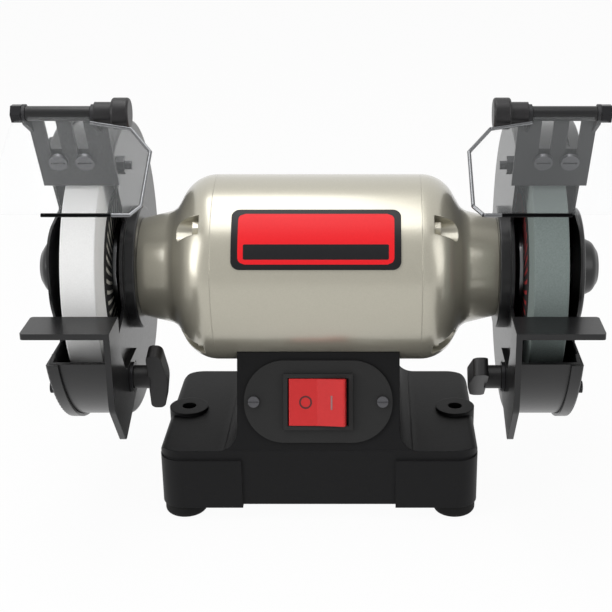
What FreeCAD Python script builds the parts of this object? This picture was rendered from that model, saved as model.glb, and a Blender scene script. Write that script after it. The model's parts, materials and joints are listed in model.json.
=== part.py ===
import FreeCAD, Part
import math
import os
import re

import Sketcher
from FreeCAD import Placement, Rotation, Vector

# Driving sizes in millimetres and degrees
SIZES = {
    # shared: how far cutters run past a face, and small edge rounds
    "overcut": 1,
    "small_edge": 1,
    "soft_edge": 2,
    # spindle position above the bench and behind the origin
    "axis_height": 145,
    "spindle_setback": 26.2,
    # wheels and what clamps them
    "wheel_radius": 75,
    "wheel_width": 20,
    "wheel_x": 124.5,
    "wheel_bevel": 0.8,
    "blotter_radius": 50,
    "blotter_thickness": 0.6,
    "flange_radius": 27,
    "flange_thickness": 4.9,
    "flange_relief": 1.5,
    "nut_flats": 22,
    "nut_height": 9,
    # shaft and bearings
    "shaft_radius": 10,
    "arbor_radius": 6.3,
    "arbor_length": 162,
    "slip": 0.05,
    "bearing_bore": 7.5,
    "bearing_radius": 17.5,
    "bearing_x": 88,
    "bearing_width": 11,
    "bearing_ring": 3,
    "bearing_gap": 0.3,
    # motor
    "barrel_radius": 57.5,
    "barrel_half": 62,
    "stator_radius": 45,
    "stator_half": 24,
    "air_gap": 0.4,
    "rotor_radius": 27,
    "winding_half": 44,
    "winding_wall": 9,
    "winding_inset": 4,
    "winding_round": 4,
    "rotor_over": 6,
    "bell_corner_x": 75.4,
    "bell_round": 22.3,
    "neck_x": 87.9,
    "bell_drop": 21.9,
    "neck_round": 10,
    "neck_end_x": 109,
    "neck_end_radius": 30.5,
    "bell_skin": 2.8,
    "bell_cavity_x": 76,
    "bell_web_x": 81,
    "bell_web_radius": 24,
    "shaft_hole": 10.5,
    "tie_inset": 8.5,
    "tie_shank": 2.5,
    "tie_head": 5,
    "tie_head_height": 4,
    "pocket_x": 69,
    "pocket_radius": 6.2,
    "label_width": 99,
    "label_angle": 37,
    "label_top": 54,
    "label_thickness": 0.8,
    "label_corner": 5,
    # base
    "base_half_width": 97.8,
    "base_half_depth": 60.5,
    "base_bottom": 10.8,
    "base_top": 47.2,
    "base_corner": 14,
    "base_edge": 5,
    "base_wall": 4,
    "pedestal_half": 49.3,
    "pedestal_fillet": 12,
    "pedestal_seam": 0.6,
    "pedestal_shoulder": 41,
    "pedestal_top": 105,
    "pedestal_cavity_top": 82,
    "leg_inner_x": 47,
    "leg_proud": 1.5,
    "leg_depth": 18,
    "leg_bottom": 9,
    "leg_top": 41.2,
    "pad_radius": 12.5,
    "pad_inset": 11.3,
    "pad_top": 49.2,
    "pad_hole": 4.5,
    "boss_inset": 13.8,
    "boss_radius": 9,
    "cover_thickness": 1.5,
    "cover_gap": 0.5,
    "foot_radius": 13,
    "foot_height": 10.5,
    "foot_disc": 8.8,
    "foot_neck": 9.2,
    "foot_dome": 3,
    "foot_recess": 4.5,
    "foot_sunk": 1,
    "foot_screw_short": 3,
    "screw_head_height": 2.5,
    "foot_screw_shank": 2,
    "foot_screw_reach": 20,
    "gland_radius": 8,
    "gland_rim": 11,
    "gland_bore": 5,
    "gland_z": 27,
    "capacitor_radius": 13.5,
    "capacitor_length": 60,
    "capacitor_back": 22,
    "terminal_length": 34,
    "terminal_width": 14,
    "terminal_height": 12,
    "terminal_forward": 24,
    "saddle_bolt_x": 30,
    "saddle_bolt_shank": 3,
    "saddle_bolt_head": 5,
    "saddle_bolt_head_height": 4,
    "saddle_bolt_reach": 9,
    # switch on the sloped front panel
    "plate_width": 90,
    "plate_height": 50,
    "plate_thickness": 2,
    "plate_screw_x": 39,
    "plate_screw_head": 3.4,
    "plate_screw_shank": 1.75,
    "screw_slot": 1,
    "switch_width": 42,
    "switch_height": 34,
    "switch_rim": 3,
    "switch_body_width": 39,
    "switch_body_height": 31,
    "switch_depth": 22,
    "switch_fit": 0.3,
    "rocker_half": 17.3,
    "rocker_height": 28.4,
    "rocker_end": 5,
    "rocker_middle": 2.8,
    "rocker_keel": 6,
    "rocker_keel_half": 8,
    "rocker_pivot": 3,
    "rocker_angle": 9,
    "rocker_play": 1.1,
    "rocker_sink": 2,
    # guards
    "guard_x": 115.5,
    "guard_radius": 91,
    "guard_sheet": 2,
    "guard_lip_x": 151.4,
    "guard_lip": 82,
    "collar_radius": 38,
    "collar_bore": 16,
    "cover_x": 153,
    "cover_sheet": 1.5,
    "cover_radius": 93,
    "cover_rim_x": 146,
    "cover_fit": 0.1,
    "cover_edge": 1.2,
    "dome_radius": 39,
    "dome_step_x": 160,
    "dome_step": 36.5,
    "dome_ring_x": 161.5,
    "dome_ring": 19,
    "dome_shoulder_x": 169,
    "dome_shoulder": 15.5,
    "dome_tip_x": 172.5,
    "dome_tip": 10,
    "dome_dimple": 7,
    "dome_sunk": 1.5,
    "dome_round": 6,
    "opening_low": -18.8,
    "opening_plate_top": 60,
    "opening_band_top": 63,
    "opening_plate_radius": 41,
    "mouth_back": 25.9,
    "mouth_up": 45.2,
    "mouth_front": 66.8,
    "mouth_shoulder": 38,
    "mouth_low_back": 51.5,
    "mouth_low": 29.3,
    "mouth_round": 24,
    "opening_reach": 150,
    "cover_screw_radius": 87,
    "cover_screw_head": 3.6,
    "cover_screw_past": 2,
    "drum_screw_radius": 24,
    "drum_screw_head": 4.6,
    "drum_tap": 10,
    # tool rest
    "rest_top": 3.5,
    "rest_gap": 2.5,
    "rest_depth": 26.5,
    "rest_sheet": 3.5,
    "rest_outer_x": 161.5,
    "rest_corner": 2,
    "arm_front_drop": 50,
    "arm_tip_forward": 80,
    "arm_tip_drop": 81,
    "arm_rear_forward": 26,
    "arm_rear_drop": 62,
    "arm_rear_top": 42,
    "arm_heel_forward": 66,
    "arm_back_drop": 26,
    "arm_front_round": 12,
    "arm_tip_round": 5,
    "arm_rear_round": 6,
    "arm_heel_round": 8,
    "rest_bolt_forward": 52,
    "rest_bolt_drop": 52,
    "rest_travel": 12,
    "rest_slot": 8.4,
    "key_width": 8,
    "key_washer": 9,
    "key_washer_thickness": 2,
    "bolt_radius": 3,
    "bolt_fit": 0.05,
    "bolt_head": 7,
    "bolt_head_height": 3,
    "knob_hub": 7,
    "knob_hub_x": 101,
    "knob_wing_x": 89.5,
    "knob_wing_half": 19.5,
    "knob_wing_width": 11,
    "knob_bottom": 4,
    "knob_edge": 3,
    "knob_tip_round": 4,
    "knob_face_round": 30,
    # spark plate, its bracket and the eye shield
    "spark_slope": 62.8,
    "spark_forward": 42.65,
    "spark_up": 65.3,
    "spark_inner_x": 112.5,
    "spark_outer_x": 155.5,
    "spark_length": 53,
    "spark_sheet": 2,
    "spark_screw_x": 136.2,
    "spark_screw_pitch": 15,
    "spark_screw_at": 19.1,
    "spark_slot": 6.6,
    "spark_slot_top": 48.3,
    "spark_travel": 2,
    "spark_screw_shank": 2.5,
    "spark_screw_head": 5.2,
    "spark_screw_past": 2.5,
    "spark_notch": 1.2,
    "bracket_sheet": 2,
    "bracket_outer_x": 150,
    "bracket_low": 4,
    "bracket_foot": 24,
    "bracket_foot_top": 8.5,
    "bracket_round": 5,
    "bracket_top_round": 4,
    "bracket_high": 26,
    "bracket_bolt_radius": 80.2,
    "bracket_bolt_angle": 66.2,
    "bracket_bolt_shank": 2.5,
    "bracket_bolt_head": 5.4,
    "bracket_bolt_past": 9,
    "bracket_head_height": 3,
    "bracket_nut_height": 5,
    "ear_low": 40,
    "ear_inset": 4,
    "ear_half": 4.2,
    "rod_at": 57,
    "rod_forward": 7,
    "rod_radius": 2.5,
    "rod_head": 5.2,
    "rod_head_x": 161,
    "sleeve_radius": 4,
    "sleeve_fit": 0.2,
    "shield_knob_neck": 6.2,
    "shield_knob_neck_x": 107,
    "shield_knob_head": 8.5,
    "shield_knob_x": 97.5,
    "shield_knob_floor": 3.5,
    "shield_knob_round": 1.5,
    "shield_slope": 27.7,
    "lens_thickness": 2,
    "lens_outer_x": 160,
    "lens_tab_inner_x": 118.5,
    "lens_tab_outer_x": 151.5,
    "lens_top": 7,
    "lens_corner": 8,
    "wire_radius": 1,
    "wire_gap": 0.1,
    "wire_side_x": 83.1,
    "wire_top_x": 95.4,
    "wire_top": 12.7,
    "wire_start_x": 117.9,
    "wire_start": 7.6,
    "wire_shoulder": 31,
    "wire_knee": 71.7,
    "wire_foot": 78,
    "wire_knee_x": 88,
    "wire_end_x": 132,
}

doc = FreeCAD.newDocument("bench_grinder")
sheet = doc.addObject("Spreadsheet::Sheet", "sizes")
for row, (alias, value) in enumerate(SIZES.items(), 1):
    sheet.set(f"A{row}", alias)
    sheet.set(f"B{row}", str(value))
    sheet.setAlias(f"B{row}", alias)
doc.recompute()

PIECES = []
SIDES = {"left": -1, "right": 1}
ALONG_X = Rotation(Vector(0, 1, 0), 90)
UPRIGHT = Rotation()


def cells(text):
    """Put the sheet name before every alias of an expression."""
    return re.sub(
        r"[a-z_]+", lambda m: f"sizes.{m.group(0)}" if m.group(0) in SIZES else m.group(0), str(text)
    )


def num(text):
    """Give the present value of an expression."""
    value = sheet.evalExpression(cells(text))
    return float(getattr(value, "Value", value))


def place(obj, at=("0", "0", "0"), turn=UPRIGHT):
    """Set a placement whose base is bound to the sheet."""
    obj.Placement = Placement(Vector(*[num(v) for v in at]), turn)
    for axis, text in zip("xyz", at):
        obj.setExpression(f"Placement.Base.{axis}", cells(text))
    return obj


def solid(kind, name, at, turn, **sizes):
    """Make a Part primitive with bound sizes."""
    obj = doc.addObject(f"Part::{kind}", name)
    for key, text in sizes.items():
        obj.setExpression(key, cells(text))
    return place(obj, at, turn)


def box(name, size, at):
    """Make a box from its low corner."""
    return solid("Box", name, at, UPRIGHT, Length=size[0], Width=size[1], Height=size[2])


def rod(name, radius, length, at, turn=UPRIGHT):
    """Make a cylinder along its turned Z axis."""
    return solid("Cylinder", name, at, turn, Radius=radius, Height=length)


def bar_x(name, radius, x_low, x_high, y="0", z="0"):
    """Make a cylinder along X between two positions."""
    return rod(name, radius, f"({x_high}) - ({x_low})", (x_low, y, z), ALONG_X)


def hexagon(name, radius, length, at, turn=UPRIGHT):
    """Make a hexagonal prism."""
    return solid("Prism", name, at, turn, Circumradius=radius, Height=length)


def hex_x(name, radius, x_low, x_high, y="0", z="0"):
    """Make a hexagonal prism along X between two positions."""
    return hexagon(name, radius, f"({x_high}) - ({x_low})", (x_low, y, z), ALONG_X)


def fuse(name, parts):
    """Join solids that touch into one."""
    obj = doc.addObject("Part::MultiFuse", name)
    obj.Shapes = parts
    obj.Refine = True
    return obj


def common(name, parts):
    """Keep what several solids share."""
    obj = doc.addObject("Part::MultiCommon", name)
    obj.Shapes = parts
    return obj


def group(name, parts):
    """Keep several solids of one kind together."""
    obj = doc.addObject("Part::Compound", name)
    obj.Links = parts
    return obj


def cut(name, base, tools):
    """Take one or more tools out of a base."""
    obj = doc.addObject("Part::Cut", name)
    obj.Base = base
    obj.Tool = tools[0] if len(tools) == 1 else group(f"{name}_tools", tools)
    return obj


def outline(sketch, corners):
    """Draw a closed outline of straight sides with optional rounded corners.

    Each corner is (x, y) or (x, y, radius), all expressions. A construction point holds every
    corner, so a rounded corner keeps its own place when the radius changes.
    """
    spots = [Vector(num(c[0]), num(c[1]), 0) for c in corners]
    rounds = [num(c[2]) if len(c) > 2 else 0 for c in corners]
    count = len(corners)
    trims = []
    for i, spot in enumerate(spots):
        back = (spots[i - 1] - spot).normalize()
        ahead = (spots[(i + 1) % count] - spot).normalize()
        angle = back.getAngle(ahead)
        reach = rounds[i] / math.tan(angle / 2)
        middle = (back + ahead).normalize() if rounds[i] else Vector()
        depth = (reach**2 + rounds[i] ** 2) ** 0.5
        trims.append((spot + back * reach, spot + ahead * reach, spot + middle * (depth - rounds[i])))
    lines = [
        sketch.addGeometry(Part.LineSegment(trims[i][1], trims[(i + 1) % count][0]), False)
        for i in range(count)
    ]
    for i, spot in enumerate(spots):
        before, after = lines[i - 1], lines[i]
        if rounds[i]:
            point = sketch.addGeometry(Part.Point(spot), True)
            arc = sketch.addGeometry(Part.Arc(trims[i][0], trims[i][2], trims[i][1]), False)
            ends = (1, 2)
            near, far = (sketch.getPoint(arc, end) - trims[i][0] for end in (1, 2))
            if near.Length > far.Length:
                ends = (2, 1)
            sketch.addConstraint(Sketcher.Constraint("Tangent", before, 2, arc, ends[0]))
            sketch.addConstraint(Sketcher.Constraint("Tangent", after, 1, arc, ends[1]))
            sketch.addConstraint(Sketcher.Constraint("PointOnObject", point, 1, before))
            sketch.addConstraint(Sketcher.Constraint("PointOnObject", point, 1, after))
            size = sketch.addConstraint(Sketcher.Constraint("Radius", arc, rounds[i]))
            sketch.setExpression(f"Constraints[{size}]", cells(corners[i][2]))
            held = (point, 1)
        else:
            sketch.addConstraint(Sketcher.Constraint("Coincident", before, 2, after, 1))
            held = (after, 1)
        for kind, value, text in zip(("DistanceX", "DistanceY"), (spot.x, spot.y), corners[i]):
            size = sketch.addConstraint(Sketcher.Constraint(kind, -1, 1, held[0], held[1], value))
            sketch.setExpression(f"Constraints[{size}]", cells(text))


def sketched(name, plane, corners):
    """Start a body with one sketch on an origin plane."""
    body = doc.addObject("PartDesign::Body", name)
    sketch = body.newObject("Sketcher::SketchObject", f"{name}_sketch")
    flat = next(f for f in body.Origin.OriginFeatures if f.Role == plane)
    sketch.AttachmentSupport = [(flat, "")]
    sketch.MapMode = "FlatFace"
    doc.recompute()
    outline(sketch, corners)
    return body, sketch


def pad(name, plane, corners, length, middle=False):
    """Make a body by padding an outline."""
    body, sketch = sketched(name, plane, corners)
    feature = body.newObject("PartDesign::Pad", f"{name}_pad")
    feature.Profile = sketch
    feature.Midplane = middle
    feature.setExpression("Length", cells(length))
    body.Tip = feature
    return body


def turned(name, corners):
    """Make a body by turning an outline of (x, radius) corners about the X axis."""
    body, sketch = sketched(name, "XZ_Plane", corners)
    feature = body.newObject("PartDesign::Revolution", f"{name}_turn")
    feature.Profile = sketch
    feature.ReferenceAxis = (sketch, ["H_Axis"])
    feature.Angle = 360
    body.Tip = feature
    return body


def piece(label, obj, z="0", turn=UPRIGHT, at=None):
    """Name a finished piece and put it in the shared frame."""
    obj.Label = label
    place(obj, at or ("0", "spindle_setback", z), turn)
    PIECES.append(obj)
    return obj


def mirrored(side, corners):
    """Give an outline of the right side to either side."""
    return [(f"{side} * ({c[0]})", *c[1:]) for c in corners]


def span(side, low, high):
    """Give the low and high X of a stretch on either side."""
    return (low, high) if side > 0 else (f"-1 * ({high})", f"-1 * ({low})")


def tilted(point, normal):
    """Give the rotation whose Y axis is the given direction and Z axis the normal."""
    return Rotation(point.cross(normal), point, normal, "ZYX")


def heading(angle):
    """Give the direction at an elevation above straight ahead, seen from the side."""
    spin = Rotation(Vector(1, 0, 0), -angle)
    return spin.multVec(Vector(0, -1, 0))


SPINDLE = "axis_height"

# Base casting: three outlines meet in one shape, then the inside is taken out
front = [
    ("-base_half_width", "base_bottom"),
    ("base_half_width", "base_bottom"),
    ("base_half_width", "base_top", "base_edge"),
    ("pedestal_half", "base_top", "pedestal_fillet"),
    ("pedestal_half", "pedestal_top + base_top"),
    ("-pedestal_half", "pedestal_top + base_top"),
    ("-pedestal_half", "base_top", "pedestal_fillet"),
    ("-base_half_width", "base_top", "base_edge"),
]
side_view = [
    ("-base_half_depth", "base_bottom"),
    ("base_half_depth", "base_bottom"),
    ("base_half_depth", "base_top"),
    ("pedestal_shoulder", "pedestal_top"),
    ("-pedestal_shoulder", "pedestal_top"),
    ("-base_half_depth", "base_top"),
]
plan = [
    ("-base_half_width", "-base_half_depth", "base_corner"),
    ("base_half_width", "-base_half_depth", "base_corner"),
    ("base_half_width", "base_half_depth", "base_corner"),
    ("-base_half_width", "base_half_depth", "base_corner"),
]
inner_front = [
    ("base_wall - base_half_width", "0"),
    ("base_half_width - base_wall", "0"),
    ("base_half_width - base_wall", "base_top - base_wall"),
    ("pedestal_half - base_wall", "base_top - base_wall"),
    ("pedestal_half - base_wall", "pedestal_cavity_top"),
    ("base_wall - pedestal_half", "pedestal_cavity_top"),
    ("base_wall - pedestal_half", "base_top - base_wall"),
    ("base_wall - base_half_width", "base_top - base_wall"),
]
inner_side = [
    ("base_wall - base_half_depth", "0"),
    ("base_half_depth - base_wall", "0"),
    ("base_half_depth - base_wall", "base_top - base_wall"),
    ("pedestal_shoulder - base_wall", "pedestal_top - base_wall"),
    ("base_wall - pedestal_shoulder", "pedestal_top - base_wall"),
    ("base_wall - base_half_depth", "base_top - base_wall"),
]
inner_plan = [
    ("base_wall - base_half_width", "base_wall - base_half_depth", "base_corner - base_wall"),
    ("base_half_width - base_wall", "base_wall - base_half_depth", "base_corner - base_wall"),
    ("base_half_width - base_wall", "base_half_depth - base_wall", "base_corner - base_wall"),
    ("base_wall - base_half_width", "base_half_depth - base_wall", "base_corner - base_wall"),
]
outer_shape = common(
    "base_outer",
    [
        pad("base_front_view", "XZ_Plane", front, "2 * base_half_depth", True),
        pad("base_side_view", "YZ_Plane", side_view, "2 * base_half_width", True),
        pad("base_plan", "XY_Plane", plan, "axis_height"),
    ],
)
hollow = common(
    "base_hollow",
    [
        pad("hollow_front_view", "XZ_Plane", inner_front, "2 * base_half_depth", True),
        pad("hollow_side_view", "YZ_Plane", inner_side, "2 * base_half_width", True),
        pad("hollow_plan", "XY_Plane", inner_plan, "axis_height"),
    ],
)
legs = []
PAD_X = "(base_half_width - pad_inset)"
for name, side in SIDES.items():
    leg_plan = mirrored(
        side,
        [
            ("leg_inner_x", "-base_half_depth - leg_proud"),
            ("base_half_width", "-base_half_depth - leg_proud", "base_corner"),
            ("base_half_width", "leg_depth - base_half_depth"),
            ("leg_inner_x", "leg_depth - base_half_depth"),
        ],
    )
    leg = pad(f"leg_{name}", "XY_Plane", leg_plan, "leg_top - leg_bottom")
    legs.append(place(leg, ("0", "0", "leg_bottom")))
    x = f"{side} * {PAD_X}"
    legs.append(rod(f"bolt_pad_{name}", "pad_radius", "pad_top - base_bottom", (x, "0", "base_bottom")))
panel_lean = Vector(0, num("base_half_depth - pedestal_shoulder"), num("pedestal_top - base_top"))
panel_up = Vector(panel_lean).normalize()
panel_out = Vector(1, 0, 0).cross(panel_up)
panel_turn = tilted(panel_up, panel_out)
PANEL = (
    "0",
    "spindle_setback - (base_half_depth + pedestal_shoulder) / 2",
    "(base_top + pedestal_top) / 2",
)
panel_spot = ("0", "-(base_half_depth + pedestal_shoulder) / 2", "(base_top + pedestal_top) / 2")
panel_hole = solid(
    "Box",
    "switch_hole",
    panel_spot,
    panel_turn,
    Length="switch_body_width + 2 * switch_fit",
    Width="switch_body_height + 2 * switch_fit",
    Height="switch_depth * 1.5",
)
corner_shift = Vector(
    -num("switch_body_width / 2 + switch_fit"),
    -num("switch_body_height / 2 + switch_fit"),
    -num("switch_depth + switch_fit"),
)
for axis in "xyz":
    panel_hole.setExpression(f"Placement.Base.{axis}", None)
panel_hole.Placement.Base = panel_hole.Placement.Base + panel_turn.multVec(corner_shift)
plate_holes = []
for name, side in SIDES.items():
    hole = rod(
        f"panel_screw_hole_{name}",
        "plate_screw_shank + slip",
        "base_wall * 4",
        panel_spot,
        panel_turn,
    )
    for axis in "xyz":
        hole.setExpression(f"Placement.Base.{axis}", None)
    shift = Vector(side * num("plate_screw_x"), 0, -num("base_wall * 2"))
    hole.Placement.Base = hole.Placement.Base + panel_turn.multVec(shift)
    plate_holes.append(hole)
saddle = bar_x("saddle_cut", "barrel_radius + slip", "-pedestal_half * 2", "pedestal_half * 2", "0", SPINDLE)
pad_holes = [
    rod(f"bench_hole_{name}", "pad_hole", "pad_top + 2 * overcut", (f"{side} * {PAD_X}", "0", "-overcut"))
    for name, side in SIDES.items()
]
gland_hole = rod(
    "gland_hole",
    "gland_radius + slip",
    "base_wall * 3",
    ("0", "base_half_depth - base_wall * 2", "gland_z"),
    Rotation(Vector(1, 0, 0), -90),
)
saddle_holes = [
    rod(
        f"saddle_hole_{name}",
        "saddle_bolt_shank + slip",
        "axis_height",
        (f"{side} * saddle_bolt_x", "0", "base_top"),
    )
    for name, side in SIDES.items()
]
pad_tubes = [
    rod(f"bolt_tube_{name}", "pad_radius", "pad_top", (f"{side} * {PAD_X}", "0", "-overcut"))
    for name, side in SIDES.items()
]
shell = cut(
    "base_shell",
    fuse("base_block", [outer_shape, *legs]),
    [cut("base_inside", hollow, pad_tubes)],
)
BOSSES = [
    (f"{i} * (base_half_width - boss_inset)", f"{j} * (base_half_depth - boss_inset)")
    for i in (-1, 1)
    for j in (-1, 1)
]
bosses = [
    rod(
        f"boss_{n}",
        "boss_radius",
        "base_top - base_wall / 2 - foot_height - cover_thickness",
        (x, y, "foot_height + cover_thickness"),
    )
    for n, (x, y) in enumerate(BOSSES)
]
boss_holes = [
    rod(f"boss_hole_{n}", "foot_screw_shank + slip", "foot_screw_reach + overcut", (x, y, "foot_height"))
    for n, (x, y) in enumerate(BOSSES)
]
base = cut(
    "base",
    fuse("base_with_bosses", [shell, *bosses]),
    [saddle, panel_hole, gland_hole, *plate_holes, *pad_holes, *saddle_holes, *boss_holes],
)
pedestal_block = box(
    "pedestal_block",
    ("2 * (pedestal_half + pedestal_fillet)", "4 * base_half_depth", "axis_height"),
    ("-pedestal_half - pedestal_fillet", "-2 * base_half_depth", "base_top + pedestal_seam"),
)
piece("base_casting", cut("base_lower", base, [pedestal_block]))
piece("pedestal_casting", common("base_upper", [base, pedestal_block]))

# Bottom cover, feet and the screws through both
cover_plan = [
    (
        "base_wall + cover_gap - base_half_width",
        "base_wall + cover_gap - base_half_depth",
        "base_corner - base_wall",
    ),
    (
        "base_half_width - base_wall - cover_gap",
        "base_wall + cover_gap - base_half_depth",
        "base_corner - base_wall",
    ),
    (
        "base_half_width - base_wall - cover_gap",
        "base_half_depth - base_wall - cover_gap",
        "base_corner - base_wall",
    ),
    (
        "base_wall + cover_gap - base_half_width",
        "base_half_depth - base_wall - cover_gap",
        "base_corner - base_wall",
    ),
]
cover_holes = [
    rod(f"cover_hole_{n}", "foot_screw_shank + slip", "cover_thickness * 4", (x, y, "-cover_thickness"))
    for n, (x, y) in enumerate(BOSSES)
]
cover_pads = [
    rod(
        f"cover_pad_{name}",
        "pad_radius + cover_gap",
        "cover_thickness * 4",
        (f"{side} * {PAD_X}", "0", "-cover_thickness"),
    )
    for name, side in SIDES.items()
]
bottom = cut(
    "bottom",
    pad("bottom_sheet", "XY_Plane", cover_plan, "cover_thickness"),
    cover_holes + cover_pads,
)
piece("bottom_cover", bottom, "foot_height")
feet = []
foot_screws = []
for n, (x, y) in enumerate(BOSSES):
    foot_profile = [
        ("0", "foot_screw_shank + slip"),
        ("0", "foot_radius", "foot_dome"),
        ("foot_disc", "foot_radius"),
        ("foot_disc", "foot_neck"),
        ("foot_height", "foot_neck"),
        ("foot_height", "foot_screw_shank + slip"),
    ]
    foot = turned(f"foot_{n}", foot_profile)
    stand_up = Rotation(Vector(0, 1, 0), -90)
    place(foot, (x, y, "0"), stand_up)
    recess = rod(f"foot_recess_{n}", "foot_recess", "screw_head_height + foot_sunk", (x, y, "0"))
    feet.append(cut(f"rubber_foot_{n}", foot, [recess]))
    head = rod(f"foot_screw_head_{n}", "foot_recess - foot_sunk", "screw_head_height", (x, y, "foot_sunk"))
    shank = rod(
        f"foot_screw_shank_{n}",
        "foot_screw_shank",
        "foot_screw_reach + foot_height - foot_screw_short",
        (x, y, "foot_sunk"),
    )
    foot_screws.append(fuse(f"foot_screw_{n}", [head, shank]))
piece("rubber_feet", group("feet", feet))
piece("foot_screws", group("foot_screw_set", foot_screws))

# Inside the base: capacitor, terminal block and cable gland
capacitor = bar_x(
    "capacitor_can",
    "capacitor_radius",
    "-capacitor_length / 2",
    "capacitor_length / 2",
    "0",
    "foot_height + cover_thickness + capacitor_radius",
)
piece("capacitor", group("capacitor_set", [capacitor]), at=("0", "spindle_setback + capacitor_back", "0"))
terminal = box(
    "terminal_body",
    ("terminal_length", "terminal_width", "terminal_height"),
    ("-terminal_length / 2", "-terminal_forward", "foot_height + cover_thickness"),
)
piece("terminal_block", group("terminal_set", [terminal]))
gland_profile = [
    ("-base_wall * 2", "gland_bore"),
    ("-base_wall * 2", "gland_radius"),
    ("0", "gland_radius"),
    ("0", "gland_rim"),
    ("base_wall", "gland_rim - small_edge", "small_edge"),
    ("base_wall", "gland_bore"),
]
gland_turn = Rotation(Vector(0, 0, 1), 90)
piece("cord_gland", turned("gland", gland_profile), turn=gland_turn, at=(
    "0", "spindle_setback + base_half_depth + slip", "gland_z"))

# Switch plate, screws, housing and rocker, drawn flat and set on the panel
ends = "plate_height / 2 - 0.5"
plate_outline = [
    ("-plate_width / 2", "-plate_height / 2", ends),
    ("plate_width / 2", "-plate_height / 2", ends),
    ("plate_width / 2", "plate_height / 2", ends),
    ("-plate_width / 2", "plate_height / 2", ends),
]
plate_sheet = pad("switch_sheet", "XY_Plane", plate_outline, "plate_thickness")
plate_window = box(
    "switch_window",
    ("switch_body_width + 2 * switch_fit", "switch_body_height + 2 * switch_fit", "plate_thickness * 3"),
    ("-switch_body_width / 2 - switch_fit", "-switch_body_height / 2 - switch_fit", "-plate_thickness"),
)
screw_ways = [
    rod(
        f"plate_hole_{name}",
        "plate_screw_shank + slip",
        "plate_thickness * 3",
        (f"{side} * plate_screw_x", "0", "-plate_thickness"),
    )
    for name, side in SIDES.items()
]
plate_seat = cut("plate_seat", plate_sheet, [plate_window, *screw_ways])
piece("switch_plate", plate_seat, turn=panel_turn, at=PANEL)
plate_screws = []
for name, side in SIDES.items():
    spot = f"{side} * plate_screw_x"
    head = rod(
        f"plate_screw_head_{name}",
        "plate_screw_head",
        "screw_head_height",
        (spot, "0", "plate_thickness"),
    )
    shank = rod(
        f"plate_screw_shank_{name}",
        "plate_screw_shank",
        "base_wall * 2.5",
        (spot, "0", "plate_thickness - base_wall * 2.5"),
    )
    slot = box(
        f"plate_screw_slot_{name}",
        ("plate_screw_head * 2.2", "screw_slot", "screw_slot"),
        (
            f"{spot} - plate_screw_head * 1.1",
            "-screw_slot / 2",
            "plate_thickness + screw_head_height - screw_slot * 0.9",
        ),
    )
    plate_screws.append(cut(f"plate_screw_{name}", fuse(f"plate_screw_blank_{name}", [head, shank]), [slot]))
piece("switch_plate_screws", group("plate_screw_set", plate_screws), turn=panel_turn, at=PANEL)


def block(name, width, height, low, high):
    """Make a box centred on the panel between two depths."""
    return box(name, (width, height, f"({high}) - ({low})"), (f"-({width}) / 2", f"-({height}) / 2", low))


rim = block(
    "switch_rim_block",
    "switch_width",
    "switch_height",
    "plate_thickness",
    "plate_thickness + switch_rim",
)
body = block(
    "switch_body_block",
    "switch_body_width",
    "switch_body_height",
    "-switch_depth",
    "plate_thickness",
)
well = block(
    "switch_well",
    "2 * rocker_half + 2 * rocker_play",
    "rocker_height + 2 * switch_fit",
    "rocker_pivot - rocker_keel - rocker_sink",
    "plate_thickness + switch_rim + overcut",
)
piece("switch_housing", cut("housing", fuse("housing_block", [rim, body]), [well]), turn=panel_turn, at=PANEL)
rocker_profile = [
    ("-rocker_half", "0", "small_edge"),
    ("-rocker_keel_half", "-rocker_keel", "soft_edge"),
    ("rocker_keel_half", "-rocker_keel", "soft_edge"),
    ("rocker_half", "0", "small_edge"),
    ("rocker_half", "rocker_end", "small_edge"),
    ("0", "rocker_middle"),
    ("-rocker_half", "rocker_end", "small_edge"),
]
rocker = pad("rocker_body", "XZ_Plane", rocker_profile, "rocker_height", True)
rocker_rest = panel_turn.multiply(Rotation(Vector(0, 1, 0), -num("rocker_angle")))
rocker_lift = panel_turn.multVec(Vector(0, 0, num("rocker_pivot")))
piece("switch_rocker", rocker, turn=rocker_rest, at=(
    "0", f"{PANEL[1]} + {rocker_lift.y}", f"{PANEL[2]} + {rocker_lift.z}"))

# Motor barrel, end bells and the bolts that hold them together
QUARTERS = [(i, j) for i in (-1, 1) for j in (-1, 1)]
TIE = "(barrel_radius - tie_inset)"
TIES = [(f"{i} * {TIE} * sqrt(0.5)", f"{j} * {TIE} * sqrt(0.5)") for i, j in QUARTERS]


def pocket_outline(n):
    """Outline the open channel round a tie bolt, with a round floor."""
    i, j = QUARTERS[n]
    corners = []
    for out, across, *rounded in (
        (f"{TIE} - pocket_radius", "-pocket_radius", "pocket_radius * 0.8"),
        ("barrel_radius * 1.2", "-pocket_radius"),
        ("barrel_radius * 1.2", "pocket_radius"),
        (f"{TIE} - pocket_radius", "pocket_radius", "pocket_radius * 0.8"),
    ):
        y = f"sqrt(0.5) * ({i} * ({out}) - {j} * ({across}))"
        z = f"sqrt(0.5) * ({j} * ({out}) + {i} * ({across}))"
        corners.append((y, z, *rounded))
    return corners


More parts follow.
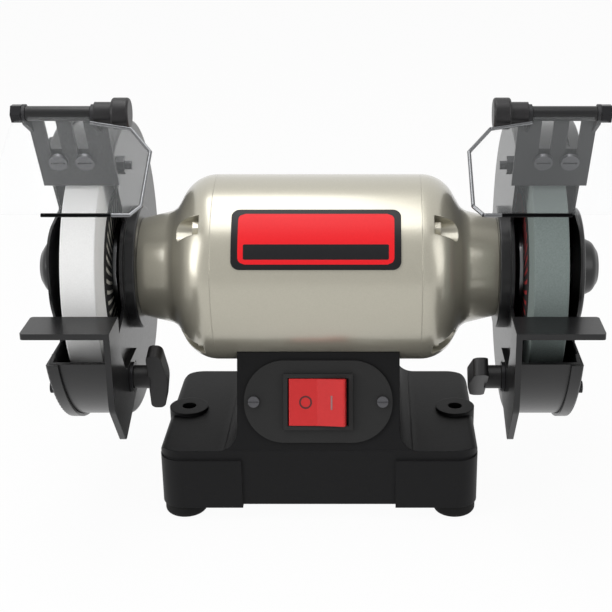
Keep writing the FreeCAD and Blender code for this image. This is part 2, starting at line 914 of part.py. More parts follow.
barrel_profile = [
    ("-barrel_half", "stator_radius + slip"),
    ("-barrel_half", "barrel_radius"),
    ("barrel_half", "barrel_radius"),
    ("barrel_half", "stator_radius + slip"),
]
tie_ways = [
    bar_x(f"tie_way_{n}", "tie_shank + slip * 2", "-barrel_half * 2", "barrel_half * 2", y, z)
    for n, (y, z) in enumerate(TIES)
]
saddle_taps = [
    rod(
        f"saddle_tap_{name}",
        "saddle_bolt_shank + slip",
        "saddle_bolt_reach",
        (f"{side} * saddle_bolt_x", "0", "-barrel_radius - overcut"),
    )
    for name, side in SIDES.items()
]
piece("motor_barrel", cut("barrel", turned("barrel_body", barrel_profile), tie_ways + saddle_taps), SPINDLE)
BELL_CAVITY = f"{TIE} - pocket_radius - bell_skin"
bell_profile = [
    ("barrel_half", BELL_CAVITY),
    ("barrel_half", "barrel_radius"),
    ("bell_corner_x", "barrel_radius", "bell_round"),
    ("neck_x", "barrel_radius - bell_drop", "neck_round"),
    ("neck_end_x", "neck_end_radius"),
    ("neck_end_x", "shaft_hole"),
    ("bearing_x + bearing_width", "shaft_hole"),
    ("bearing_x + bearing_width", "bearing_radius + slip"),
    ("bell_web_x", "bearing_radius + slip"),
    ("bell_web_x", "bell_web_radius"),
    ("bell_cavity_x", BELL_CAVITY),
]
DRUM_SCREWS = [
    (f"drum_screw_radius * cos({a} * 1deg)", f"drum_screw_radius * sin({a} * 1deg)") for a in (90, 210, 330)
]
for name, side in SIDES.items():
    bell = turned(f"bell_{name}_body", mirrored(side, bell_profile))
    ways = []
    for n, (y, z) in enumerate(TIES):
        low, high = span(side, "barrel_half - overcut", "pocket_x + overcut")
        ways.append(bar_x(f"bell_{name}_way_{n}", "tie_shank + slip * 2", low, high, y, z))
        low, high = span(side, "pocket_x", "neck_end_x")
        channel = pad(f"bell_{name}_pocket_{n}", "YZ_Plane", pocket_outline(n), f"({high}) - ({low})")
        ways.append(place(channel, (low, "0", "0")))
    for n, (y, z) in enumerate(DRUM_SCREWS):
        low, high = span(side, "neck_end_x - drum_tap", "neck_end_x + overcut")
        ways.append(bar_x(f"bell_{name}_tap_{n}", "tie_shank + slip", low, high, y, z))
    piece(f"end_bell_{name}", cut(f"bell_{name}", bell, ways), SPINDLE)
ties = []
for n, (y, z) in enumerate(TIES):
    shank = bar_x(
        f"tie_shank_{n}",
        "tie_shank",
        "-pocket_x - tie_head_height",
        "pocket_x + tie_head_height",
        y,
        z,
    )
    ends = []
    for name, side in SIDES.items():
        low, high = span(side, "pocket_x", "pocket_x + tie_head_height")
        ends.append(hex_x(f"tie_head_{name}_{n}", "tie_head", low, high, y, z))
    ties.append(fuse(f"tie_{n}", [shank, *ends]))
piece("tie_bolts", group("tie_set", ties), SPINDLE)
saddle_bolts = []
for name, side in SIDES.items():
    spot = (f"{side} * saddle_bolt_x", "0", "pedestal_cavity_top - saddle_bolt_head_height")
    head = hexagon(f"saddle_bolt_head_{name}", "saddle_bolt_head", "saddle_bolt_head_height", spot)
    shank = rod(
        f"saddle_bolt_shank_{name}",
        "saddle_bolt_shank",
        "axis_height - barrel_radius + saddle_bolt_reach - 2 * overcut - pedestal_cavity_top",
        (spot[0], "0", "pedestal_cavity_top"),
    )
    saddle_bolts.append(fuse(f"saddle_bolt_{name}", [head, shank]))
piece("saddle_bolts", group("saddle_bolt_set", saddle_bolts))

# Name plate: a bare curved sheet on the front of the barrel
plate_high = heading(num("label_top"))
plate_turn = Rotation(plate_high, Vector(1, 0, 0).cross(plate_high), Vector(1, 0, 0), "ZXY")
label_parts = []
for name, radius in (("outer", "barrel_radius + label_thickness"), ("inner", "barrel_radius + slip")):
    part = rod(f"label_{name}", radius, "label_width", ("-label_width / 2", "0", "0"), plate_turn)
    part.setExpression("Angle", cells("label_angle"))
    label_parts.append(part)
label_cut = cut("label_sheet", label_parts[0], [label_parts[1]])
doc.recompute()
label_round = doc.addObject("Part::Fillet", "label_rounded")
label_round.Base = label_cut
thin = num("label_thickness - slip")
label_round.Edges = [
    (n, num("label_corner"), num("label_corner"))
    for n, edge in enumerate(label_cut.Shape.Edges, 1)
    if abs(edge.Length - thin) < thin / 10
]
piece("name_plate", label_round, SPINDLE)

# Stator, windings and bearings
stator_profile = [
    ("-stator_half", "rotor_radius + air_gap"),
    ("-stator_half", "stator_radius"),
    ("stator_half", "stator_radius"),
    ("stator_half", "rotor_radius + air_gap"),
]
piece("stator_core", turned("stator", stator_profile), SPINDLE)
windings = []
for name, side in SIDES.items():
    coil = [
        ("stator_half", "rotor_radius + air_gap + winding_inset", "soft_edge"),
        ("stator_half", "rotor_radius + air_gap + winding_inset + winding_wall", "soft_edge"),
        ("winding_half", "rotor_radius + air_gap + winding_inset + winding_wall", "winding_round"),
        ("winding_half", "rotor_radius + air_gap + winding_inset", "winding_round"),
    ]
    windings.append(turned(f"coil_{name}", mirrored(side, coil)))
piece("stator_windings", group("winding_set", windings), SPINDLE)


def ring(name, side, x_low, x_high, r_low, r_high):
    """Make a plain ring about the spindle."""
    low, high = span(side, x_low, x_high)
    return turned(name, [(low, r_low), (low, r_high), (high, r_high), (high, r_low)])


outer_rings = []
inner_rings = []
race = "bearing_bore + bearing_ring"
bearing_end = "bearing_x + bearing_width - bearing_gap"
for name, side in SIDES.items():
    outer_rings.append(
        ring(f"outer_ring_{name}", side, "bearing_x", bearing_end, f"{race} + bearing_gap", "bearing_radius")
    )
    inner_rings.append(
        ring(f"inner_ring_{name}", side, "bearing_x", bearing_end, "bearing_bore + slip", race),
    )
piece("bearing_outer_rings", group("outer_ring_set", outer_rings), SPINDLE)
piece("bearing_inner_rings", group("inner_ring_set", inner_rings), SPINDLE)

# Shaft, rotor, wheels and what clamps them
half_shaft = [
    ("bearing_x", "shaft_radius"),
    ("bearing_x", "bearing_bore"),
    ("wheel_x - blotter_thickness - flange_thickness", "bearing_bore"),
    ("wheel_x - blotter_thickness - flange_thickness", "arbor_radius"),
    ("arbor_length", "arbor_radius"),
    ("arbor_length", "0"),
]
shaft_profile = mirrored(-1, half_shaft)[::-1] + half_shaft
piece("shaft", turned("shaft_body", shaft_profile), SPINDLE)
piece(
    "rotor_core",
    ring(
        "rotor",
        1,
        "-stator_half - rotor_over",
        "stator_half + rotor_over",
        "shaft_radius + slip",
        "rotor_radius",
    ),
    SPINDLE,
)
blotters = []
inner_flanges = []
outer_flanges = []
nuts = []
wheel_far = "wheel_x + wheel_width"
bore = "arbor_radius + slip"
for name, side in SIDES.items():
    wheel_profile = [
        ("wheel_x", bore),
        ("wheel_x", "wheel_radius", "wheel_bevel"),
        (wheel_far, "wheel_radius", "wheel_bevel"),
        (wheel_far, bore),
    ]
    piece(f"wheel_{name}", turned(f"wheel_{name}_body", mirrored(side, wheel_profile)), SPINDLE)
    for spot, low in (("near", "wheel_x - blotter_thickness"), ("far", wheel_far)):
        blotters.append(
            ring(f"blotter_{spot}_{name}", side, low, f"{low} + blotter_thickness", bore, "blotter_radius")
        )
    flange = [
        ("wheel_x - blotter_thickness - flange_thickness", bore),
        ("wheel_x - blotter_thickness - flange_thickness", "flange_radius * 0.6"),
        ("wheel_x - blotter_thickness - flange_thickness / 2", "flange_radius", "small_edge"),
        ("wheel_x - blotter_thickness", "flange_radius"),
        ("wheel_x - blotter_thickness", "flange_radius * 0.7"),
        ("wheel_x - blotter_thickness - flange_relief", "flange_radius * 0.65"),
        ("wheel_x - blotter_thickness - flange_relief", bore),
    ]
    middle = "(2 * wheel_x + wheel_width)"
    inner_flanges.append(turned(f"flange_near_{name}", mirrored(side, flange)))
    outer_flanges.append(
        turned(f"flange_far_{name}", mirrored(side, [(f"{middle} - ({c[0]})", *c[1:]) for c in flange]))
    )
    seat = f"{wheel_far} + blotter_thickness + flange_thickness"
    low, high = span(side, seat, f"{seat} + nut_height")
    blank = hex_x(f"nut_blank_{name}", "nut_flats / sqrt(3)", low, high)
    low, high = span(side, f"{seat} - overcut", f"{seat} + nut_height + overcut")
    nuts.append(cut(f"nut_{name}", blank, [bar_x(f"nut_bore_{name}", bore, low, high)]))
piece("wheel_blotters", group("blotter_set", blotters), SPINDLE)
piece("inner_flanges", group("inner_flange_set", inner_flanges), SPINDLE)
piece("outer_flanges", group("outer_flange_set", outer_flanges), SPINDLE)
piece("spindle_nuts", group("nut_set", nuts), SPINDLE)


def opening(name, side, top, x_low, x_high, keep):
    """Make the wedge that opens a guard at the front, outside a kept radius."""
    fan = [
        ("0", "0"),
        ("-opening_reach * cos(opening_low * 1deg)", "opening_reach * sin(opening_low * 1deg)"),
        ("-opening_reach * 1.3", "opening_reach * 0.5"),
        (f"-opening_reach * cos({top} * 1deg)", f"opening_reach * sin({top} * 1deg)"),
    ]
    low, high = span(side, x_low, x_high)
    wedge = place(pad(f"{name}_fan", "YZ_Plane", fan, f"({high}) - ({low})"), (low, "0", "0"))
    return cut(name, wedge, [bar_x(f"{name}_core", keep, f"{low} - 1", f"{high} + 1")])


# Guards: drum with inner plate and band, outer cover with dome, screws
COVER_MOUTH = [
    ("-mouth_back * 4", "mouth_up * 4"),
    ("-mouth_back", "mouth_up", "small_edge"),
    ("-mouth_front", "mouth_shoulder", "mouth_round"),
    ("-mouth_front", "0", "mouth_round"),
    ("-mouth_low_back", "-mouth_low", "small_edge"),
    ("-opening_reach", "-mouth_low"),
    ("-opening_reach", "mouth_up * 4"),
]
drum_profile = [
    ("neck_end_x", "collar_bore"),
    ("neck_end_x", "collar_radius", "small_edge"),
    ("guard_x", "collar_radius"),
    ("guard_x", "guard_radius", "soft_edge"),
    ("guard_lip_x", "guard_radius"),
    ("guard_lip_x", "guard_lip"),
    ("guard_lip_x - guard_sheet", "guard_lip"),
    ("guard_lip_x - guard_sheet", "guard_radius - guard_sheet"),
    ("guard_x + guard_sheet", "guard_radius - guard_sheet"),
    ("guard_x + guard_sheet", "collar_radius - guard_sheet"),
    ("neck_end_x + guard_sheet", "collar_radius - guard_sheet"),
    ("neck_end_x + guard_sheet", "collar_bore"),
]
cover_profile = [
    ("cover_rim_x", "guard_radius + cover_fit * 3"),
    ("cover_rim_x", "cover_radius"),
    ("cover_x", "cover_radius", "cover_edge"),
    ("cover_x", "dome_radius"),
    ("dome_step_x", "dome_step", "soft_edge"),
    ("dome_ring_x", "dome_ring", "soft_edge"),
    ("dome_shoulder_x", "dome_shoulder", "dome_round"),
    ("dome_tip_x", "dome_tip", "soft_edge"),
    ("dome_tip_x", "dome_dimple"),
    ("dome_tip_x - dome_sunk", "dome_dimple - small_edge"),
    ("dome_tip_x - dome_sunk", "0"),
    ("dome_tip_x - dome_sunk - cover_sheet", "0"),
    ("dome_tip_x - dome_sunk - cover_sheet", "dome_tip - soft_edge"),
    ("dome_shoulder_x - cover_sheet * 1.3", "dome_shoulder - cover_sheet", "dome_round"),
    ("dome_ring_x - cover_sheet", "dome_ring - cover_sheet"),
    ("dome_step_x - cover_sheet", "dome_step - cover_sheet"),
    ("cover_x - cover_sheet", "dome_radius - cover_sheet"),
    ("cover_x - cover_sheet", "guard_radius + cover_fit * 3"),
]
COVER_SCREWS = [
    (f"cover_screw_radius * cos({a} * 1deg)", f"cover_screw_radius * sin({a} * 1deg)")
    for a in (75, -35, -138)
]
bracket_y = "-bracket_bolt_radius * cos(bracket_bolt_angle * 1deg)"
bracket_z = "bracket_bolt_radius * sin(bracket_bolt_angle * 1deg)"
cover_screws = []
drum_screws = []
for name, side in SIDES.items():
    ways = [
        opening(
            f"plate_opening_{name}",
            side,
            "opening_plate_top",
            "guard_x - overcut",
            "guard_x + guard_sheet + overcut / 2",
            "opening_plate_radius",
        ),
        opening(
            f"band_opening_{name}",
            side,
            "opening_band_top",
            "guard_x + guard_sheet",
            "guard_lip_x + overcut",
            "opening_plate_radius",
        ),
    ]
    low, high = span(side, "guard_x - 2 * overcut", "guard_x + guard_sheet + 2 * overcut")
    ways.append(
        bar_x(
            f"rest_bolt_way_{name}",
            "bolt_radius + slip",
            low,
            high,
            "-rest_bolt_forward",
            "-rest_bolt_drop",
        ),
    )
    ways.append(bar_x(f"bracket_way_{name}", "bracket_bolt_shank + slip", low, high, bracket_y, bracket_z))
    low, high = span(side, "cover_rim_x - overcut", "cover_x + overcut")
    mouth = pad(f"cover_mouth_{name}", "YZ_Plane", COVER_MOUTH, f"({high}) - ({low})")
    covers = [place(mouth, (low, "0", "0"))]
    for n, (y, z) in enumerate(COVER_SCREWS):
        low, high = span(side, "guard_lip_x - guard_sheet - cover_screw_past", "cover_x + 2 * overcut")
        ways.append(bar_x(f"lip_way_{name}_{n}", "foot_screw_shank + slip", low, high, f"-1 * {y}", z))
        covers.append(bar_x(f"cover_way_{name}_{n}", "foot_screw_shank + slip", low, high, f"-1 * {y}", z))
        low, high = span(side, "guard_lip_x - guard_sheet - cover_screw_past", "cover_x")
        shank = bar_x(f"cover_screw_shank_{name}_{n}", "foot_screw_shank", low, high, f"-1 * {y}", z)
        low, high = span(side, "cover_x", "cover_x + screw_head_height")
        head = bar_x(f"cover_screw_head_{name}_{n}", "cover_screw_head", low, high, f"-1 * {y}", z)
        cover_screws.append(fuse(f"cover_screw_{name}_{n}", [shank, head]))
    for n, (y, z) in enumerate(DRUM_SCREWS):
        low, high = span(side, "neck_end_x - overcut", "neck_end_x + guard_sheet + overcut")
        ways.append(bar_x(f"drum_way_{name}_{n}", "tie_shank + slip", low, high, y, z))
        low, high = span(side, "neck_end_x - drum_tap + overcut", "neck_end_x + guard_sheet")
        shank = bar_x(f"drum_screw_shank_{name}_{n}", "tie_shank", low, high, y, z)
        low, high = span(side, "neck_end_x + guard_sheet", "neck_end_x + guard_sheet + screw_head_height")
        head = bar_x(f"drum_screw_head_{name}_{n}", "drum_screw_head", low, high, y, z)
        drum_screws.append(fuse(f"drum_screw_{name}_{n}", [shank, head]))
    drum = turned(f"drum_{name}_body", mirrored(side, drum_profile))
    piece(f"guard_drum_{name}", cut(f"drum_{name}", drum, ways), SPINDLE)
    cover = turned(f"cover_{name}_body", mirrored(side, cover_profile))
    piece(f"guard_cover_{name}", cut(f"cover_{name}", cover, covers), SPINDLE)
piece("guard_cover_screws", group("cover_screw_set", cover_screws), SPINDLE)
piece("guard_drum_screws", group("drum_screw_set", drum_screws), SPINDLE)

# Tool rests, each with a keyed washer, bolt and T knob
bolts = []
BOLT = ("-rest_bolt_forward", "-rest_bolt_drop")
arm_far = "guard_x - bolt_fit * 2"
arm_near = f"{arm_far} - rest_sheet"
rest_back = "-wheel_radius - rest_gap"
rest_front = f"{rest_back} - rest_depth"
for name, side in SIDES.items():
    arm_outline = [
        (rest_front, "-rest_top"),
        (rest_front, "-arm_front_drop", "arm_front_round"),
        ("-arm_tip_forward", "-arm_tip_drop", "arm_tip_round"),
        ("-arm_rear_forward", "-arm_rear_drop", "arm_rear_round"),
        ("-arm_rear_forward", "-arm_rear_top", "arm_rear_round"),
        ("-arm_heel_forward", "-arm_rear_top", "arm_heel_round"),
        (rest_back, "-arm_back_drop", "arm_rear_round"),
        (rest_back, "-rest_top"),
    ]
    low, high = span(side, arm_near, arm_far)
    arm = place(pad(f"arm_{name}", "YZ_Plane", arm_outline, "rest_sheet"), (low, "0", "0"))
    table_outline = mirrored(
        side,
        [
            (arm_near, rest_front),
            ("rest_outer_x", rest_front, "rest_corner"),
            ("rest_outer_x", rest_back, "rest_corner"),
            (arm_near, rest_back),
        ],
    )
    table = pad(f"table_{name}", "XY_Plane", table_outline, "rest_sheet")
    place(table, ("0", "0", "-rest_top - rest_sheet"))
    slot_low = "rest_bolt_forward - rest_travel - key_width / 2 - 0.4"
    slot_high = "rest_bolt_forward + key_width / 2 + 0.4"
    low, high = span(side, f"{arm_near} - 1", f"{arm_far} + 1")
    slot = box(
        f"rest_slot_{name}",
        (f"({high}) - ({low})", f"({slot_high}) - ({slot_low})", "rest_slot"),
        (low, f"-({slot_high})", "-rest_bolt_drop - rest_slot / 2"),
    )
    piece(f"tool_rest_{name}", cut(f"rest_{name}", fuse(f"rest_blank_{name}", [arm, table]), [slot]), SPINDLE)
    washer_near = f"{arm_near} - bolt_fit * 2 - key_washer_thickness"
    low, high = span(side, washer_near, f"{arm_near} - bolt_fit * 2")
    washer = bar_x(f"key_washer_{name}", "key_washer", low, high, *BOLT)
    low, high = span(side, f"{arm_near} - bolt_fit * 2", f"{arm_far} - bolt_fit")
    key = box(
        f"key_{name}",
        (f"({high}) - ({low})", "key_width", "key_width"),
        (low, f"{BOLT[0]} - key_width / 2", f"{BOLT[1]} - key_width / 2"),
    )
    low, high = span(side, f"{washer_near} - overcut", "guard_x + overcut")
    key_way = bar_x(f"key_way_{name}", "bolt_radius + bolt_fit", low, high, *BOLT)
    piece(
        f"rest_slider_{name}",
        cut(f"slider_{name}", fuse(f"slider_blank_{name}", [washer, key]), [key_way]),
        SPINDLE,
    )
    low, high = span(side, "knob_wing_x + knob_bottom", "guard_x + guard_sheet")
    shank = bar_x(f"rest_bolt_shank_{name}", "bolt_radius", low, high, *BOLT)
    low, high = span(side, "guard_x + guard_sheet", "guard_x + guard_sheet + bolt_head_height")
    head = bar_x(f"rest_bolt_head_{name}", "bolt_head", low, high, *BOLT)
    bolts.append(fuse(f"rest_bolt_{name}", [shank, head]))
    low, high = span(side, "knob_hub_x - overcut", f"{washer_near} - bolt_fit * 2")
    hub = bar_x(f"knob_hub_{name}", "knob_hub", low, high, "0", "0")
    wing_outline = mirrored(
        side,
        [
            ("knob_hub_x", "-knob_wing_half", "knob_edge"),
            ("knob_wing_x + knob_edge", "-knob_wing_half", "knob_tip_round"),
            ("knob_wing_x", "0", "knob_face_round"),
            ("knob_wing_x + knob_edge", "knob_wing_half", "knob_tip_round"),
            ("knob_hub_x", "knob_wing_half", "knob_edge"),
        ],
    )
    wing = pad(f"knob_wing_{name}", "XZ_Plane", wing_outline, "knob_wing_width", True)
    low, high = span(side, "knob_wing_x + knob_bottom - overcut / 2", "guard_x")
    way = bar_x(f"knob_way_{name}", "bolt_radius + bolt_fit", low, high)
    knob = cut(f"knob_{name}", fuse(f"knob_blank_{name}", [hub, wing]), [way])
    spin = Rotation(Vector(1, 0, 0), 15 if side < 0 else 48)
    piece(f"rest_knob_{name}", knob, turn=spin, at=(
        "0", f"spindle_setback + ({BOLT[0]})", f"axis_height + ({BOLT[1]})"))
piece("rest_bolts", group("rest_bolt_set", bolts), SPINDLE)

# Spark plates slide up a slope; drawn flat with Y up the slope and Z towards the front
slope_up = heading(num("spark_slope"))
slope_out = heading(num("spark_slope") - 90)
slope_turn = tilted(slope_up, slope_out)
SLOPE = ("0", "spindle_setback - spark_forward", "axis_height + spark_up")
brackets = []
plate_screw_set = []
for name, side in SIDES.items():
    sheet_outline = mirrored(
        side,
        [
            ("spark_inner_x", "0"),
            ("spark_outer_x", "0"),
            ("spark_outer_x", "spark_length"),
            ("spark_inner_x", "spark_length"),
        ],
    )
    plate = pad(f"spark_sheet_{name}", "XY_Plane", sheet_outline, "spark_sheet")
    ears = []
    ear_outline = [
        ("ear_low", "0"),
        ("spark_length", "0"),
        ("rod_at + ear_half", "rod_forward - ear_half", "ear_half - sleeve_fit"),
        ("rod_at + ear_half", "rod_forward + ear_half", "ear_half - sleeve_fit"),
        ("rod_at - ear_half", "rod_forward + ear_half", "ear_half - sleeve_fit"),
        ("ear_low", "spark_sheet"),
    ]
    for spot, x in (("near", "spark_inner_x + ear_inset"), ("far", "spark_outer_x - spark_sheet")):
        low, high = span(side, x, f"{x} + spark_sheet")
        ear = pad(f"ear_{spot}_{name}", "YZ_Plane", ear_outline, "spark_sheet")
        ears.append(place(ear, (low, "0", "0")))
    ways = []
    for n, offset in enumerate((-1, 1)):
        x = f"{side} * (spark_screw_x + {offset} * spark_screw_pitch / 2)"
        ways.append(
            box(
                f"spark_slot_{name}_{n}",
                ("spark_slot", "spark_slot_top - spark_screw_at + spark_slot / 2", "spark_sheet * 3"),
                (f"{x} - spark_slot / 2", "spark_screw_at - spark_slot / 2", "-spark_sheet"),
            )
        )
        head = rod(
            f"spark_head_{name}_{n}",
            "spark_screw_head",
            "screw_head_height",
            (x, "spark_screw_at", "spark_sheet + bolt_fit"),
        )
        shank = rod(
            f"spark_shank_{name}_{n}",
            "spark_screw_shank",
            "spark_sheet + bracket_sheet + spark_screw_past + overcut / 2",
            (x, "spark_screw_at", "-bracket_sheet - spark_screw_past"),
        )
        notch = box(
            f"spark_notch_{name}_{n}",
            ("spark_screw_head * 1.5", "spark_notch", "spark_notch"),
            (
                f"{x} - spark_screw_head * 0.75",
                "spark_screw_at - spark_notch / 2",
                "spark_sheet + screw_head_height - overcut",
            ),
        )
        plate_screw_set.append(
            cut(f"spark_screw_{name}_{n}", fuse(f"spark_screw_blank_{name}_{n}", [head, shank]), [notch]),
        )
    low, high = span(side, "spark_inner_x - 2 * overcut", "spark_outer_x + 2 * overcut")
    ways.append(bar_x(f"ear_way_{name}", "rod_radius + slip", low, high, "rod_at", "rod_forward"))
    plate = cut(f"spark_{name}", fuse(f"spark_blank_{name}", [plate, *ears]), ways)
    piece(f"spark_plate_{name}", plate, turn=slope_turn, at=SLOPE)
    # fixed bracket behind the plate: one leaf along the slope, one against the guard
    leaf_low = "guard_x + guard_sheet + slip"
    leaf_outline = mirrored(
        side,
        [
            (leaf_low, "bracket_low"),
            ("bracket_outer_x", "bracket_low"),
            ("bracket_outer_x", "bracket_high"),
            (leaf_low, "bracket_high"),
        ],
    )
    leaf = pad(f"bracket_leaf_{name}", "XY_Plane", leaf_outline, "bracket_sheet")
    place(leaf, ("0", "0", "-bracket_sheet - bolt_fit * 2"))
    low, high = span(side, leaf_low, f"{leaf_low} + bracket_sheet")
    foot_outline = [
        ("bracket_low", "-bolt_fit * 2"),
        ("-bracket_low", "-bracket_low * 2"),
        ("-bracket_low", "-bracket_foot", "bracket_round"),
        ("bracket_foot_top", "-bracket_foot", "bracket_top_round"),
        ("bracket_foot_top", "-bolt_fit * 2"),
    ]
    foot = place(pad(f"bracket_foot_{name}", "YZ_Plane", foot_outline, "bracket_sheet"), (low, "0", "0"))
    bolt_offset = Vector(0, num(bracket_y) + num("spark_forward"), num(bracket_z) - num("spark_up"))
    flat_spot = slope_turn.inverted().multVec(bolt_offset)
    spot = (f"{flat_spot.y}", f"{flat_spot.z}")
    low, high = span(side, "guard_x - overcut", f"{leaf_low} + bracket_sheet + overcut")
    ways = [bar_x(f"bracket_hole_{name}", "bracket_bolt_shank + slip", low, high, *spot)]
    for n, offset in enumerate((-1, 1)):
        x = f"{side} * (spark_screw_x + {offset} * spark_screw_pitch / 2)"
        ways.append(
            rod(
                f"leaf_hole_{name}_{n}",
                "spark_screw_shank + slip",
                "bracket_sheet * 4",
                (x, "spark_screw_at", "-bracket_sheet * 3"),
            ),
        )
    bracket = cut(f"bracket_{name}", fuse(f"bracket_blank_{name}", [leaf, foot]), ways)
    piece(f"shield_bracket_{name}", bracket, turn=slope_turn, at=SLOPE)
    low, high = span(side, "guard_x - bracket_bolt_past", f"{leaf_low} + bracket_sheet")
    shank = bar_x(f"bracket_shank_{name}", "bracket_bolt_shank", low, high, *spot)
    low, high = span(side, f"{leaf_low} + bracket_sheet", f"{leaf_low} + bracket_sheet + bracket_head_height")
    head = hex_x(f"bracket_head_{name}", "bracket_bolt_head", low, high, *spot)
    low, high = span(side, "guard_x - bracket_nut_height", "guard_x")
    nut = hex_x(f"bracket_nut_{name}", "bracket_bolt_head", low, high, *spot)
    brackets.append(fuse(f"bracket_bolt_{name}", [shank, head, nut]))
piece("bracket_bolts", group("bracket_bolt_set", brackets), turn=slope_turn, at=SLOPE)
piece("spark_plate_screws", group("spark_screw_set", plate_screw_set), turn=slope_turn, at=SLOPE)

# Eye shields turn on a bolt through the ears; drawn flat with Y down the lens
rod_shift = slope_turn.multVec(Vector(0, num("rod_at"), num("rod_forward")))
ROD = ("0", f"{SLOPE[1]} + {rod_shift.y}", f"{SLOPE[2]} + {rod_shift.z}")
lens_down = heading(-num("shield_slope"))
lens_turn = tilted(lens_down, heading(-90 - num("shield_slope")))
for name, side in SIDES.items():
    low, high = span(side, "shield_knob_x + shield_knob_floor + overcut / 2", "rod_head_x - overcut")
    shank = bar_x(f"pivot_shank_{name}", "rod_radius", low, high)
    low, high = span(side, "spark_outer_x", "rod_head_x")
    head = hex_x(f"pivot_head_{name}", "rod_head", low, high)
    piece(f"pivot_bolt_{name}", fuse(f"pivot_{name}", [shank, head]), turn=lens_turn, at=ROD)
    knob_profile = [
        ("spark_inner_x + ear_inset - sleeve_fit", "rod_radius + slip"),
        ("spark_inner_x + ear_inset - sleeve_fit", "shield_knob_neck"),
        ("shield_knob_neck_x", "shield_knob_neck"),
        ("shield_knob_neck_x", "shield_knob_head", "shield_knob_round"),
        ("shield_knob_x", "shield_knob_head", "shield_knob_round"),
        ("shield_knob_x", "0"),
        ("shield_knob_x + shield_knob_floor", "0"),
        ("shield_knob_x + shield_knob_floor", "rod_radius + slip"),
    ]
    knob = turned(f"shield_knob_{name}_body", mirrored(side, knob_profile))
    piece(f"shield_knob_{name}", knob, turn=lens_turn, at=ROD)
    sleeve = ring(
        f"sleeve_{name}",
        side,
        "spark_inner_x + ear_inset + spark_sheet + sleeve_fit",
        "spark_outer_x - spark_sheet - sleeve_fit",
        "rod_radius + slip",
        "sleeve_radius",
    )
    piece(f"shield_sleeve_{name}", sleeve, turn=lens_turn, at=ROD)
    inset = "wire_radius + wire_gap"
    lens_outline = mirrored(
        side,
        [
            ("lens_tab_inner_x", "sleeve_radius + wire_gap"),
            ("lens_tab_outer_x", "sleeve_radius + wire_gap"),
            ("lens_tab_outer_x", "lens_top"),
            ("lens_outer_x", "lens_top", "lens_corner / 2"),
            ("lens_outer_x", f"wire_foot - ({inset})", "lens_corner"),
            (f"wire_knee_x + ({inset}) * 0.5", f"wire_foot - ({inset})"),
            (f"wire_side_x + {inset}", f"wire_knee - ({inset}) * 0.5"),
            (f"wire_side_x + {inset}", f"wire_shoulder + ({inset}) * 0.35"),
            (f"wire_top_x + ({inset}) * 0.62", f"wire_top + {inset}"),
            ("lens_tab_inner_x", f"wire_start + ({inset}) * 1.2"),
        ],
    )
    lens = pad(f"lens_{name}", "XY_Plane", lens_outline, "lens_thickness", True)
    piece(f"shield_lens_{name}", lens, turn=lens_turn, at=ROD)
    stops = [
        ("wire_start_x", "wire_start"),
        ("wire_top_x", "wire_top"),
        ("wire_side_x", "wire_shoulder"),
        ("wire_side_x", "wire_knee"),
        ("wire_knee_x", "wire_foot"),
        ("wire_end_x", "wire_foot"),
    ]
    points = [Vector(side * num(x), num(y), 0) for x, y in stops]
    wire = doc.addObject("Part::Feature", f"wire_{name}")
    path = Part.makePolygon(points)
    start = points[1] - points[0]
    section = Part.Wire(Part.makeCircle(num("wire_radius"), points[0], start))
    wire.Shape = path.makePipeShell([section], True, False, 2)
    piece(f"shield_wire_{name}", wire, turn=lens_turn, at=ROD)

doc.recompute()

# Write one file per piece
for obj in doc.Objects:
    if "Invalid" in obj.State or "Error" in obj.State:
        raise RuntimeError(f"{obj.Label} did not build")
os.makedirs("parts", exist_ok=True)
for obj in PIECES:
    shape = obj.Shape
    if shape.isNull() or not shape.isValid():
        raise RuntimeError(f"{obj.Label} has no valid shape")
    shape.exportStep(f"parts/{obj.Label}.step")
print(len(PIECES), "pieces written")
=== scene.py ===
"""Dresses the bench grinder: finishes, small printed pieces, studio and camera."""

import json
import logging
import math
from dataclasses import dataclass, field
from enum import Enum
from typing import Any

import bmesh
import bpy
from mathutils import Matrix, Vector

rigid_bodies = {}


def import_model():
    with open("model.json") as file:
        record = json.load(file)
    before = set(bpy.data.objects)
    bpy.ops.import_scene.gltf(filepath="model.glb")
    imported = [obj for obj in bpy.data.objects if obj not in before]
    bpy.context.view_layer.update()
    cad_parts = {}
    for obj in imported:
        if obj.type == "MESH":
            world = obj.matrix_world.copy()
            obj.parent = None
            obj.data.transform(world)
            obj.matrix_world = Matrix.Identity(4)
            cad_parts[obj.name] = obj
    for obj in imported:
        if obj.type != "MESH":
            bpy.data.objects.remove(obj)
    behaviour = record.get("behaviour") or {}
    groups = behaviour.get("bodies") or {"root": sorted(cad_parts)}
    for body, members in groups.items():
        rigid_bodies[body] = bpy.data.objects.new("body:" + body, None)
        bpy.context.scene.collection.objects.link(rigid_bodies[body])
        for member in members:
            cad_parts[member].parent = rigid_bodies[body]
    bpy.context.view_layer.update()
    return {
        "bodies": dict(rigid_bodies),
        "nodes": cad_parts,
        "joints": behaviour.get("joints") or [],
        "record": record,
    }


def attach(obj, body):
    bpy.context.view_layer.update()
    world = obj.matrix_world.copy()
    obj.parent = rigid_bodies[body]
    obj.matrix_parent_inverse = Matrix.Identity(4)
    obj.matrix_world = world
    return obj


log = logging.getLogger("bench_grinder")

MM = 0.001
# Y and Z of the spindle in metres
SPINDLE = (0.0262, 0.145)
# Sockets of the colour mix node
MIX_A, MIX_B, MIX_OUT = 6, 7, 2


class Side(Enum):
    """The two ends of the spindle, seen from the front."""

    LEFT = "left"
    RIGHT = "right"

    def node(self, name: str) -> str:
        """Return a node's name with this side added."""
        return f"{name}_{self.value}"


